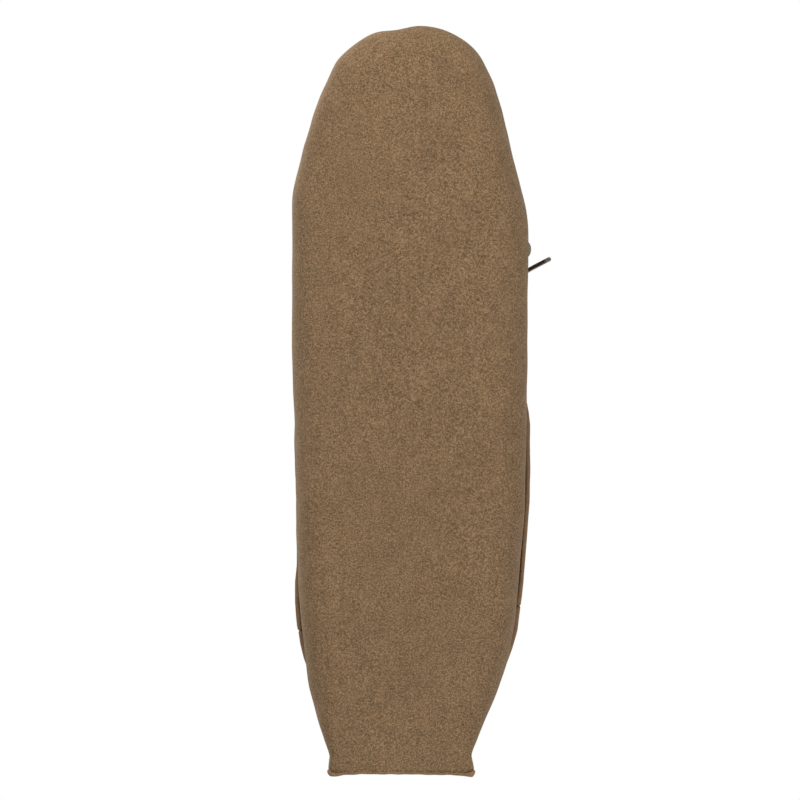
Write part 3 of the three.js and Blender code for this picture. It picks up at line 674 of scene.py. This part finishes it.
rings = np.concatenate([t_top, t_top[:, -1:] * 0.8 + t_low[:, -1:] * 0.2 + out1 * 0.6, t_top[:, -1:] * 0.2 + t_low[:, -1:] * 0.8 + out1 * 0.6,
                        t_low[:, ::-1], t_low[:, :1] * 0.8 + t_top[:, :1] * 0.2 + out0 * 0.6, t_low[:, :1] * 0.2 + t_top[:, :1] * 0.8 + out0 * 0.6], axis=1)
wa = np.clip(np.concatenate([0.30 * np.exp(-((edge_d / 1.4) ** 2)) + 0.12 * bulge, np.full((NV, 2), 0.6), np.zeros((NV, NW)), np.full((NV, 2), 0.6)], 1), 0, 1)
# painted shade darkens the tucks at each stitch
tuck_shade = np.clip(np.concatenate([0.9 * tuck, np.zeros((NV, 2)), np.zeros((NV, NW)), np.zeros((NV, 2))], 1), 0, 1)
Kp = rings.shape[1]
# rotate the ring so that point i pairs with K - 1 - i through the thickness
rings, wa, tuck_shade = (np.roll(x, 1, axis=1) for x in (rings, wa, tuck_shade))
plug = loft("gathered_plug", rings, [M_PLUG], attrs={"wear_and_highlight": wa, "painted_crease_shade": tuck_shade})
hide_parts("vamp_plug")

# whip stitches over the plug seam
paths = []
s0, s1 = seam_pos(THROAT_R + 0.12), seam_pos(THROAT_L - 0.12)
first = math.ceil(s0 / STITCH)
rows_fine = span(THROAT_R, THROAT_L, 4000)
pos_fine = seam_pos(rows_fine)
for k in range(first, int(s1 / STITCH) + 1):
    r = float(np.interp(k * STITCH, pos_fine, rows_fine))
    r2 = float(np.interp(k * STITCH + 1.0, pos_fine, rows_fine))
    e, c = spline(EDGE, r), spline(OUTLINE, r)
    out = unit(np.array([c[0] - e[0], c[1] - e[1], 0.0]))
    q, nq, _ = wall(r2, 2.5)
    q0, nq0, _ = wall(r2, 0.9)
    v = (TOE - r) / (TOE - THROAT_R) if r < TOE else (r - TOE) / (THROAT_L - TOE)
    inw = e - out * 2.4
    # height of the plug over that point
    d2 = ((t_top[..., :2] - inw[:2]) ** 2).sum(-1)
    iz = np.unravel_index(np.argmin(d2), d2.shape)
    zin = t_top[iz][2]
    p_in = np.array([inw[0], inw[1], zin])
    ztop = e[2] + PLUG_LIFT + PLUG_LEATHER
    pts = [p_in + [0, 0, -0.5], p_in + [0, 0, 0.42], e - out * 1.0 + [0, 0, ztop - e[2] + 0.85], e + out * 0.45 + [0, 0, ztop - e[2] + 0.5],
           q0 + nq0 * 1.05, q + nq * 0.50, q - nq * 0.5]
    path, _ = open_spline(pts, 18)
    paths.append(path)
seam = stitches("plug_whip_stitches", paths, 0.5, M_THREAD, ["plug_seam_thread"])

# ------------------------------------------------------------------ the collar facing, over the topline
rows = span(THROAT_L + 0.45, ROWS + THROAT_R - 0.45, 420)
e, nrm = skin(rows, 1.0), normals(rows, np.full_like(rows, 0.985))
down = unit(skin(rows, 0.93) - e)
sec = []
ro, ri = 0.8 + GAP + CUFF_LEATHER, 0.8 + GAP
for d in span(7.2, 0, 12):
    sec.append((-0.8 - ro, d))
for a in span(np.pi, 0, 14)[1:-1]:
    sec.append((-0.8 + ro * math.cos(a), -ro * 0.85 * math.sin(a)))
sec.append((-0.8 + ro, 0.0))
half = len(sec)
low = []
for d in span(7.2, 0, 12):
    low.append((-0.8 - ri, d))
for a in span(np.pi, 0, 14)[1:-1]:
    low.append((-0.8 + ri * math.cos(a), -ri * 0.85 * math.sin(a)))
low.append((-0.8 + ri, 0.0))
sec = np.array(sec + low[::-1])
rings = e[:, None] + sec[None, :, :1] * nrm[:, None] + sec[None, :, 1:] * down[:, None]
out_ring = rings[:, :half]
wob = 0.22 * waves(out_ring, 12, 41) + 0.10 * waves(out_ring, 4, 42)
cen = e - 0.8 * nrm
wob = wob * np.clip((half - 1 - np.arange(half)) / 6.0, 0, 1)
rings[:, :half] += unit(out_ring - cen[:, None]) * wob[..., None]
wa = np.zeros(rings.shape[:2])
wa[:, 12:half] = 0.30
wa[:, :2] = 0.5
facing = loft("collar_fold", rings, [M_CUFF], attrs={"wear_and_highlight": wa, "painted_crease_shade": np.zeros(rings.shape[:2])})
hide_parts("collar_facing")


# ------------------------------------------------------------------ the cuff, folded down outside
def flap(name, r0, r1, n, node, body_name, depth_at, stand_at, seed):
    soft = np.array([0.15, 0.6, 1.2])  # the ends are rounded over this many mm
    rows = span(r0, r1, n)
    k = (rows - r0) / (r1 - r0)
    ds = np.concatenate([[0.0], span(0.02, 1, 46)])
    dep = depth_at(k, rows)
    # the top edge drops away toward the back end, where it swings up past the collar
    top_at = 0.28 + (0.5 * smooth((rows - 44.0) / 1.0) if node == "cuff_lateral" else 0.5 * smooth((11.3 - rows) / 1.0) if node == "cuff_medial" else 0 * rows)
    drops = top_at[:, None] + (dep - top_at)[:, None] * ds[None]
    rg = np.broadcast_to(rows[:, None], drops.shape)
    p, nn, _ = wall(rg, drops)
    st = stand_at(k[:, None], ds[None], rg, drops)
    ripple = (0.12 * np.sin(2 * np.pi * (seam_pos(rg) / 34.0) + seed) + 0.16 * waves(p, 11, seed)) * smooth(ds[None] / 0.8)
    inn = p + nn * (st + ripple)[..., None]
    t = CUFF_LEATHER * np.ones_like(drops)
    outp = inn + nn * (t + 0.07 * waves(p, 5, seed + 3))[..., None]
    hem_dir = unit(inn[:, -1] - inn[:, -3])
    h1 = outp[:, -1:] * 0.82 + inn[:, -1:] * 0.18 + hem_dir[:, None] * 0.32
    h2 = outp[:, -1:] * 0.18 + inn[:, -1:] * 0.82 + hem_dir[:, None] * 0.32
    rings = np.concatenate([outp, h1, h2, inn[:, ::-1]], 1)
    half = rings.shape[1] // 2
    # round the two cut ends
    first, last = rings[0].copy(), rings[-1].copy()
    f_mid = (rings[0] + rings[0][::-1]) / 2
    l_mid = (rings[-1] + rings[-1][::-1]) / 2
    step0, step1 = unit(rings[0] - rings[1]) * 0.3, unit(rings[-1] - rings[-2]) * 0.3
    rings = np.concatenate([(f_mid + (first - f_mid) * 0.55 + step0)[None], rings, (l_mid + (last - l_mid) * 0.55 + step1)[None]], 0)
    wa = np.zeros(rings.shape[:2])
    wa[:, half - 4:half + 2] = 0.75
    wa[:, :3] = 0.22
    wa[:2], wa[-2:] = 0.6, 0.6
    o = loft(name, rings, [M_CUFF], body=body_name, attrs={"wear_and_highlight": wa, "painted_crease_shade": np.zeros(rings.shape[:2])})
    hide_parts(node)
    return o


# where the hem's outer face hangs, as X over Y, on each side of the shoe
HEM_R = np.array([[-16, 37.6], [-8, 38.2], [-2, 38.7], [4, 39.7], [8, 40.1], [17, 40.4], [24, 40.4], [34, 40.0], [48, 39.1], [54, 38.7], [60.6, 38.2], [69.4, 37.1], [77, 35.9],
                  [83, 34.2], [89, 32.1], [95, 29.4], [101, 26.6], [107, 23.8], [113, 21.3], [119, 19.0]])
HEM_L = np.array([[-16, -38.0], [10, -38.3], [30, -38.3], [48, -38.1], [56, -38.4], [61, -39.0], [68, -39.1], [76, -38.5], [82, -37.5], [87, -36.1], [93, -34.0], [101, -31.0], [107, -29.6], [113, -27.4], [119, -25.4]])


def stand(k, d, r, drops):
    over = 0.36 + 1.65 * smooth(drops / 7.5)
    hem_p, hem_n, _ = wall(r[:, :1], np.full_like(r[:, :1], CUFF_DEPTH))
    x, y = hem_p[..., 0], hem_p[..., 1]
    want = np.where(x > 0, np.interp(y, HEM_R[:, 0], HEM_R[:, 1]) - x, x - np.interp(y, HEM_L[:, 0], HEM_L[:, 1])) / np.maximum(0.4, np.abs(hem_n[..., 0])) - CUFF_LEATHER
    side = smooth((np.abs(hem_n[..., 0]) - 0.55) / 0.25)
    hem = np.clip(want, 0.4, 3.4) * side + 1.3 * (1 - side)
    return over + (hem - 2.0) * smooth((drops - 12.0) / (CUFF_DEPTH - 12.0))


def front_corner(k, r):
    return CUFF_DEPTH * (0.42 + 0.58 * np.sqrt(1 - (1 - np.minimum(1, k / 0.3)) ** 2))


flap("cuff_flap_medial", 15.25, 10.31, 170, "cuff_medial", "medial_flap", front_corner, stand, 3)
flap("cuff_flap_lateral", 39.8, 45.03, 170, "cuff_lateral", "lateral_flap", front_corner, stand, 9)
flap("cuff_heel_wrap", 45.11 - ROWS, 10.23, 330, "cuff_heel", "shoe", lambda k, r: CUFF_DEPTH * np.ones_like(k), stand, 15)

# ------------------------------------------------------------------ the lace
rows = span(THROAT_L + 0.25, ROWS + THROAT_R - 0.25, 420)
kk = np.minimum(rows - THROAT_L, ROWS + THROAT_R - rows)
drop = 3.2 + (LACE_DROP - 3.2) * smooth((kk - 0.05) / 0.65)
p, nn, _ = wall(rows, drop)
run = p + nn * (GAP + LACE_T / 2 + 0.05)
pa, _, _ = wall(rows, drop + 1.2)
pb, _, _ = wall(rows, np.maximum(0, drop - 1.2))
acr = unit(pa - pb)
lead_l = np.array([[-6.0, -24.6, 64.4], [-10.0, -24.5, 63.6], [-14, -24.6, 62.0], [-20.6, -24.6, 59.2], [-24.6, -24.0, 56.9], [-27.0, -22.9, 53.6]])
lead_r = np.array([[6.0, -24.8, 64.4], [10.0, -25.0, 63.6], [14, -25.2, 62.0], [20.5, -25.6, 59.2], [24.4, -25.2, 56.9], [26.9, -23.9, 53.6]])
ctrl = np.vstack([lead_l, run[::6], run[-1:], lead_r[::-1]])
lead_w = np.array([[0, 1.0, 0]] * 3 + [[0.0, 1, 0.1], [0.1, 1, -0.1], [0.2, 1, -0.5]])
lead_w2 = np.array([[0, 1.0, 0]] * 3 + [[0.0, 1, 0.1], [-0.1, 1, -0.1], [-0.2, 1, -0.5]])
sgn = np.sign((acr[0] * lead_w[-1]).sum()) or 1.0
ctrl_w = np.vstack([lead_w * sgn, acr[::6], acr[-1:], lead_w2[::-1] * (np.sign((acr[-1] * lead_w2[-1]).sum()) or 1.0)])
path, uu2 = open_spline(ctrl, 700)
aw = np.stack([np.interp(uu2 * (len(ctrl) - 1), np.arange(len(ctrl)), ctrl_w[:, k]) for k in range(3)], -1)
ker = np.exp(-0.5 * (np.arange(-24, 25) / 9.0) ** 2)
aw = np.stack([np.convolve(np.pad(aw[:, k], 24, mode="edge"), ker / ker.sum(), "valid") for k in range(3)], -1)
ker = np.exp(-0.5 * (np.arange(-12, 13) / 3.5) ** 2)
path = np.stack([np.convolve(np.pad(path[:, k], 12, mode="reflect", reflect_type="odd"), ker / ker.sum(), "valid") for k in range(3)], -1)
lace = ribbon("lace_round_collar", path, aw, LACE_W, LACE_T, [M_LACE], attrs={"wear_and_highlight": np.zeros(700 * 20), "painted_crease_shade": np.zeros(700 * 20)})
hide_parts("lace_collar_run", "lace_lead_medial", "lace_lead_lateral")


def free_lace(name, node, pts, acrs, n, far_end, thick=LACE_T):
    path, u = open_spline(pts, n)
    A = np.asarray(acrs, float)
    aw = np.stack([np.interp(u * (len(A) - 1), np.arange(len(A)), A[:, k]) for k in range(3)], -1)
    w = np.zeros((n, 20))
    if far_end == "bare":
        w[-2:] = 0.9
    o = ribbon(name, path, aw, LACE_W, thick, [M_LACE, M_FLESH], attrs={"wear_and_highlight": w, "painted_crease_shade": np.zeros((n, 20))})
    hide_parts(node)
    return o


TURN = np.radians(np.array([40.0, 10.0, -20.0, -50.0, -80.0, -110.0, -140.0]))
LOOP_R = ([[0.8, -27.2, 63.2], [4.4, -26.7, 64.8], [13.4, -30.0, 66.6], [22.4, -36.4, 64.2], [30.4, -43.0, 58.8], [35.6, -47.2, 54.2]]
          + [[37.5 + 2.3 * math.cos(t), -51.8 + 2.3 * math.sin(t), z] for t, z in zip(TURN, (51.6, 50.4, 49.5, 48.9, 48.6, 48.8, 49.6))]
          + [[30.2, -46.9, 54.6], [22.0, -39.4, 59.6], [13.6, -32.8, 62.8], [4.4, -28.0, 63.6], [0.8, -27.5, 62.6]])
LOOP_RW = ([[-0.3, -1, 0], [-0.3, -1, 0], [-0.5, -1, 0], [-0.7, -0.75, 0], [-0.76, -0.65, 0], [-0.76, -0.65, 0]]
           + [[-math.cos(t), -math.sin(t), 0.0] for t in TURN]
           + [[0.76, 0.65, 0], [0.75, 0.75, 0], [0.5, 1, 0], [0.3, 1, 0], [0.3, 1, 0]])
LOOP_L = [[-0.8, -27.2, 63.2], [-4.4, -26.7, 64.8], [-13, -29.6, 66.8], [-20.6, -34.4, 65], [-27.4, -39.2, 60.6], [-32, -43, 55.6], [-34.2, -45, 52],
          [-33, -44.6, 49.8], [-29.4, -41.4, 53], [-24.4, -37.6, 58], [-18.4, -33.8, 61.6], [-12.2, -30.6, 63.2], [-4.4, -28.0, 63.6], [-0.8, -27.5, 62.6]]
LOOP_LW = [[-0.3, 1, 0], [-0.3, 1, 0], [-0.5, 1, 0], [-0.7, 1, 0], [-0.75, 1, 0], [-0.8, 1, 0], [-0.8, 1, 0], [-0.8, 1, 0], [-0.8, 1, 0], [-0.75, 1, 0], [-0.7, 1, 0], [-0.5, 1, 0], [-0.3, 1, 0], [-0.3, 1, 0]]
TAIL_R = [[0.6, -27.0, 63.6], [4.2, -24.6, 66.0], [12, -25.2, 69.0], [20, -29.8, 68.4], [29, -36.6, 63.6], [36.4, -42.4, 57.6], [41, -45.1, 53.8], [47.4, -48.4, 48.4]]
TAIL_RW = [[0, -1, -0.4], [0, -1, -0.4], [0, -1, -0.8], [0, -0.4, -1], [0, -0.1, -1], [0, 0, -1], [0, 0, -1], [0, 0, -1]]
TAIL_L = [[-0.6, -27.0, 63.6], [-4.2, -24.6, 66.0], [-12, -23.8, 69.0], [-19.4, -24.4, 67.4], [-26, -26, 61.6], [-31.6, -28.4, 54.8], [-35, -30.2, 49.4]]
TAIL_LW = [[0, 1, 0.4], [0, 1, 0.4], [0, 1, 0.4], [0, 1, 0.2], [0, 1, 0], [0, 1, 0], [0, 1, 0]]
free_lace("bow_loop_right", "bow_loop_medial", LOOP_R, LOOP_RW, 170, "object")
free_lace("bow_loop_left", "bow_loop_lateral", LOOP_L, LOOP_LW, 130, "object")
free_lace("lace_end_right", "lace_tail_medial", TAIL_R, TAIL_RW, 80, "bare", 1.5)
free_lace("lace_end_left", "lace_tail_lateral", TAIL_L, TAIL_LW, 60, "bare")

# the knot: a turn of lace wrapped round the crossing strips
kc = plug_point(0.955, 0.5) + np.array([0, 0, PLUG_LIFT + PLUG_LEATHER + 3.0 + GAP])
verts_k, faces_k, fm_k = [], [], []


def add_band(points, acrosses, w, t, n=40, closed=True):
    P_ = np.asarray(points, float)
    if closed:
        c = spline(P_, span(0, len(P_), n + 1)[:-1])
        Wd = spline(np.asarray(acrosses, float), span(0, len(P_), n + 1)[:-1])
        T = unit(np.roll(c, -1, 0) - np.roll(c, 1, 0))
    else:
        c, u_ = open_spline(P_, n)
        A = np.asarray(acrosses, float)
        Wd = np.stack([np.interp(u_ * (len(A) - 1), np.arange(len(A)), A[:, k]) for k in range(3)], -1)
        T = unit(np.gradient(c, axis=0))
    Wd = unit(Wd - (Wd * T).sum(-1, keepdims=True) * T)
    Nb = unit(np.cross(Wd, T))
    s_ = rounded(w, t, 0.35)
    rg = c[:, None] + s_[None, :, :1] * Wd[:, None] + s_[None, :, 1:] * Nb[:, None]
    faces_k.extend(loft_faces(len(rg), len(s_), closed, base=len(verts_k)))
    verts_k.extend(rg.reshape(-1, 3).tolist())


def ellipse(cx, cy, cz, ay, az, tilt, n=12):
    out_p, out_w = [], []
    for a in np.arange(n) / n * 2 * np.pi:
        y, z = ay * math.cos(a), az * math.sin(a)
        out_p.append([cx + tilt * math.sin(a), cy + y, cz + z])
        out_w.append([1, tilt * 0.12 * math.cos(a), 0])
    return out_p, out_w


for cx, ay, az, tilt, w_ in ((-1.1, 3.5, 2.7, 0.9, 3.0), (1.3, 3.2, 2.5, -0.7, 2.9)):
    pts_, ws_ = ellipse(kc[0] + cx, kc[1], kc[2] - 0.1, ay, az, tilt)
    add_band(pts_, ws_, w_, LACE_T)
# the strips that pass through the turn
add_band([kc + [-5.4, 1.0, -0.5], kc + [-2.5, 0.8, 0.3], kc + [1.5, -0.4, 0.2], kc + [5.2, -2.6, 0.2]], [[0, 1, 0.3]] * 4, 2.8, 1.1, closed=False)
add_band([kc + [5.4, 1.0, -0.5], kc + [2.5, 0.9, -0.9], kc + [-1.5, -0.6, -0.8], kc + [-5.2, -2.6, 0.2]], [[0, 1, -0.2]] * 4, 2.8, 1.1, closed=False)
knot = make("bow_knot_turns", verts_k, faces_k, [M_LACE], attrs={"wear_and_highlight": np.zeros(len(verts_k)), "painted_crease_shade": np.zeros(len(verts_k))})
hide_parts("bow_knot")

# ------------------------------------------------------------------ the tongue
HY, HZ, PITCH, TL = -17.2, 59.2, math.radians(14), 41.0
kt, wt = np.meshgrid(span(0, 1, 90), span(-1, 1, 70), indexing="ij")
half_w = (21.3 - 1.6 * kt) * np.where(kt > 0.8, np.sqrt(np.maximum(0.05, 1 - ((kt - 0.8) / 0.225) ** 2)) * 0.45 + 0.55, 1) * (0.84 + 0.16 * smooth(kt / 0.2))
along = 1.2 + TL * kt
arch = -5.2 * (1 - 0.45 * kt) * wt**2 + 2.2 * np.sin(np.pi * kt)
tp = np.stack([half_w * wt, HY + along * math.cos(PITCH) - arch * math.sin(PITCH) * 0.2, HZ - 0.8 + along * math.sin(PITCH) + arch], -1)
edge_in = np.minimum((1 - np.abs(wt)) * half_w, (1 - kt) * TL)
curl = 0.8 * np.exp(-((edge_in / 3.0) ** 2)) * (0.5 + 0.5 * waves(tp, 20, 51)) + 0.45 * waves(tp, 14, 52) + 0.15 * waves(tp, 5, 53)
fade = smooth(kt / 0.12)
tp_low = tp + np.array([0, 0, 1.0]) * (curl * fade)[..., None]
tp_top = tp_low + np.array([0, 0, PLUG_LEATHER])
side = lambda a, b, o: np.stack([a * 0.82 + b * 0.18 + o, a * 0.18 + b * 0.82 + o], 1)
o1 = unit(tp_top[:, -1] - tp_top[:, -2]) * 0.3
o0 = unit(tp_top[:, 0] - tp_top[:, 1]) * 0.3
rings = np.concatenate([side(tp_low[:, 0], tp_top[:, 0], o0)[:, 1:], tp_top, side(tp_top[:, -1], tp_low[:, -1], o1), tp_low[:, ::-1], side(tp_low[:, 0], tp_top[:, 0], o0)[:, :1]], 1)
wa = np.zeros(rings.shape[:2])
wa[:, 1:71] = 0.55 * np.exp(-((edge_in / 1.0) ** 2))
endr = rings[-1]
mid = (endr + endr[::-1]) / 2
rings = np.concatenate([rings, (mid + (endr - mid) * 0.5 + np.array([0, 0.3, 0]))[None]], 0)
wa = np.vstack([wa, np.full((1, wa.shape[1]), 0.6)])
tongue = loft("tongue_flap_suede", rings, [M_TONGUE], body="tongue_flap", attrs={"wear_and_highlight": wa, "painted_crease_shade": np.zeros_like(wa)})
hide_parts("tongue")

# ------------------------------------------------------------------ running stitches
def running(line, nrm_, length, gap, sink=0.35, rise=0.30):
    """Stitches laid along a line, each dipping into the leather at its ends."""
    d = np.concatenate([[0], np.cumsum(np.linalg.norm(np.diff(line, axis=0), axis=1))])
    at = lambda x, arr: np.stack([np.interp(x, d, arr[:, k]) for k in range(3)], -1)
    out_paths = []
    x = gap
    while x + length < d[-1]:
        t = span(0, 1, 9)
        pts = at(x + t * length, line)
        nn_ = unit(at(x + t * length, nrm_))
        out_paths.append(pts + nn_ * (rise - (rise + sink) * (2 * t - 1) ** 6)[:, None])
        x += length + gap
    return out_paths


rows = span(THROAT_L + 0.6, ROWS + THROAT_R - 0.6, 500)
nr = normals(rows, np.full_like(rows, 0.985))
dn = unit(skin(rows, 0.93) - skin(rows, 1.0))
line = skin(rows, 1.0) + nr * (-LEATHER - GAP - CUFF_LEATHER + 0.05) + dn * 4.2
stitches("collar_running_stitch", running(line, -nr, 3.0, 1.5), 0.38, M_THREAD, ["collar_seam_thread"])
wbar = span(0.2, 0.8, 60)
line = plug_point(np.full_like(wbar, 0.985), wbar, PLUG_LIFT + PLUG_LEATHER + 0.05)
stitches("tongue_running_stitch", running(line, np.tile([0, 0.2, 1.0], (60, 1)), 3.0, 1.4), 0.38, M_THREAD, ["tongue_seam_thread"])
sb = span(0.16, 0.9, 120)
line = skin(np.full_like(sb, 0.02), sb)
nb = normals(np.full_like(sb, 0.02), np.minimum(sb, 0.985))
cross = []
zz = 5.0
while zz < 50:
    i = int(np.argmin(np.abs(line[:, 2] - zz)))
    c0, n0 = line[i], nb[i]
    cross.append(open_spline([c0 + np.array([-1.7, 0, -0.5]) - n0 * 0.35, c0 + np.array([-1.0, 0, -0.3]) + n0 * 0.55, c0 + np.array([1.0, 0, 0.3]) + n0 * 0.55, c0 + np.array([1.7, 0, 0.5]) - n0 * 0.35], 12)[0])
    zz += 3.2
stitches("back_seam_stitches", cross, 0.38, M_THREAD, ["back_seam_thread"])
cross = []
for x in span(-24.0, 18.0, 15):
    cross.append(open_spline([[x - 0.5, 121.8, 6.6], [x - 0.4, 123.0, 6.3], [x - 0.1, 123.7, 5.3], [x + 0.3, 123.9, 4.5], [x + 0.5, 123.7, 3.6]], 12)[0])
stitches("heel_base_stitches", cross, 0.38, M_THREAD, ["heel_base_thread"])


# ------------------------------------------------------------------ the insole
def pad(name, z, t, inset, mat, node, crown):
    n = 240
    r = np.arange(n) / n * ROWS
    c = spline(OUTLINE, r)
    m = np.stack([np.clip(c[:, 0], -14, 14), np.clip(c[:, 1], -92, 104)], -1)
    d = unit(c - m)
    rings, wear_, crease_ = [], [], []
    half = n // 2
    prof = [(0.0, 0.0), (0.0, 0.55), (0.35, 0.9), (1.0, 1.0), (3.0, 1.02), (7.0, 1.0)]
    verts, faces = [], []
    levels = [(inset, z)] + [(inset + a_, z + t * b_) for a_, b_ in prof]
    for ins, zz_ in levels:
        q = c - d * ins
        verts += [[x, y, zz_ + (0.12 * math.sin(x * 0.4) * math.sin(y * 0.13) if zz_ > z + t * 0.95 else 0)] for x, y in q]
    L = len(levels)
    for l in range(L - 1):
        for i in range(n):
            faces.append((l * n + i, l * n + (i + 1) % n, (l + 1) * n + (i + 1) % n, (l + 1) * n + i))
    def fill(l, dome):
        J2 = 16
        ids = {}
        for k in range(1, half):
            a_, b_ = np.array(verts[l * n + k]), np.array(verts[l * n + n - k])
            ids[k, 0], ids[k, J2] = l * n + k, l * n + n - k
            for j in range(1, J2):
                tt = j / J2
                p = a_ * (1 - tt) + b_ * tt
                p[2] += dome(p, tt)
                ids[k, j] = len(verts)
                verts.append(p.tolist())
        for k in range(1, half - 1):
            for j in range(J2):
                faces.append((ids[k, j], ids[k, j + 1], ids[k + 1, j + 1], ids[k + 1, j]))
        for k, e_ in ((1, 0), (half - 1, half)):
            for j in range(J2):
                faces.append((l * n + e_, ids[k, j], ids[k, j + 1]))
    fill(0, lambda p, tt: 0.0)
    fill(L - 1, lambda p, tt: -crown * 4 * tt * (1 - tt) * (0.6 + 0.4 * math.cos((p[1] - 75) / 40)))
    nV = len(verts)
    edge_shade = np.zeros(nV)
    # painted shade along the pad's lowest rings, where it meets the walls
    edge_shade[: 3 * n] = 0.6
    o = make(name, verts, faces, [mat], attrs={"wear_and_highlight": np.zeros(nV), "painted_crease_shade": edge_shade})
    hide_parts(node)
    return o


foam = pad("insole_pad", LEATHER + GAP, 3.0, 12.4, M_FOAM, "insole_foam", 0.0)
sock = pad("sock_lining_sheet", LEATHER + 2 * GAP + 3.0, 1.0, 8.8, M_LINING, "sock_lining", 0.25)

# ------------------------------------------------------------------ the floor and the light
fm = bpy.data.materials.new("pale_floor")
fm.use_nodes = True
nt = fm.node_tree
bs = nt.nodes["Principled BSDF"]
bs.inputs["Base Color"].default_value = (0.86, 0.86, 0.855, 1)
bs.inputs["Roughness"].default_value = 0.6
bs.inputs["Specular IOR Level"].default_value = 0.1
geo, tr, mx = nt.nodes.new("ShaderNodeNewGeometry"), nt.nodes.new("ShaderNodeBsdfTransparent"), nt.nodes.new("ShaderNodeMixShader")
nt.links.new(geo.outputs["Backfacing"], mx.inputs[0])
nt.links.new(bs.outputs[0], mx.inputs[1])
nt.links.new(tr.outputs[0], mx.inputs[2])
nt.links.new(mx.outputs[0], nt.nodes["Material Output"].inputs["Surface"])
me = bpy.data.meshes.new("floor")
S = 6.0
me.from_pydata([(-S, -S, -0.0006), (S, -S, -0.0006), (S, S, -0.0006), (-S, S, -0.0006)], [], [(0, 1, 2, 3)])
me.materials.append(fm)
floor = bpy.data.objects.new("floor", me)
scene.collection.objects.link(floor)
floor.visible_diffuse = floor.visible_glossy = floor.visible_transmission = floor.visible_shadow = False

world = bpy.data.worlds.new("world")
scene.world = world
world.use_nodes = True
wn = world.node_tree
bg = wn.nodes["Background"]
lp, bg2, mxw = wn.nodes.new("ShaderNodeLightPath"), wn.nodes.new("ShaderNodeBackground"), wn.nodes.new("ShaderNodeMixShader")
bg.inputs["Color"].default_value, bg.inputs["Strength"].default_value = (0.97, 0.985, 1.0, 1), 0.47
bg2.inputs["Color"].default_value, bg2.inputs["Strength"].default_value = (1, 1, 1, 1), 1.0
wn.links.new(lp.outputs["Is Camera Ray"], mxw.inputs[0])
wn.links.new(bg.outputs[0], mxw.inputs[1])
wn.links.new(bg2.outputs[0], mxw.inputs[2])
wn.links.new(mxw.outputs[0], wn.nodes["World Output"].inputs["Surface"])


def area(name, at, to, size, power, tint=(1, 1, 1)):
    from mathutils import Vector
    l = bpy.data.lights.new(name, "AREA")
    l.shape, l.size, l.energy, l.color = "SQUARE", size, power, tint
    o = bpy.data.objects.new(name, l)
    scene.collection.objects.link(o)
    o.location = at
    o.rotation_mode = "QUATERNION"
    o.rotation_quaternion = (Vector(to) - Vector(at)).to_track_quat("-Z", "Y")
    o.visible_camera = False
    return o


area("key_above", (-0.7, -0.5, 1.1), (0, 0, 0.03), 0.7, 11.5, (1.0, 0.985, 0.96))
area("fill_above", (0.9, 0.6, 0.8), (0, 0, 0.03), 0.9, 5.0, (0.96, 0.98, 1.0))
area("key_below", (-0.55, -0.75, -0.85), (0, 0, 0), 0.5, 3.0, (1.0, 0.99, 0.97))
area("toe_below", (-0.05, -0.46, -0.34), (0, -0.1, 0.01), 0.3, 1.65, (1.0, 0.99, 0.97))
area("heel_below", (0.25, 0.5, -0.45), (0, 0.1, 0), 0.4, 1.55, (1.0, 0.99, 0.98))
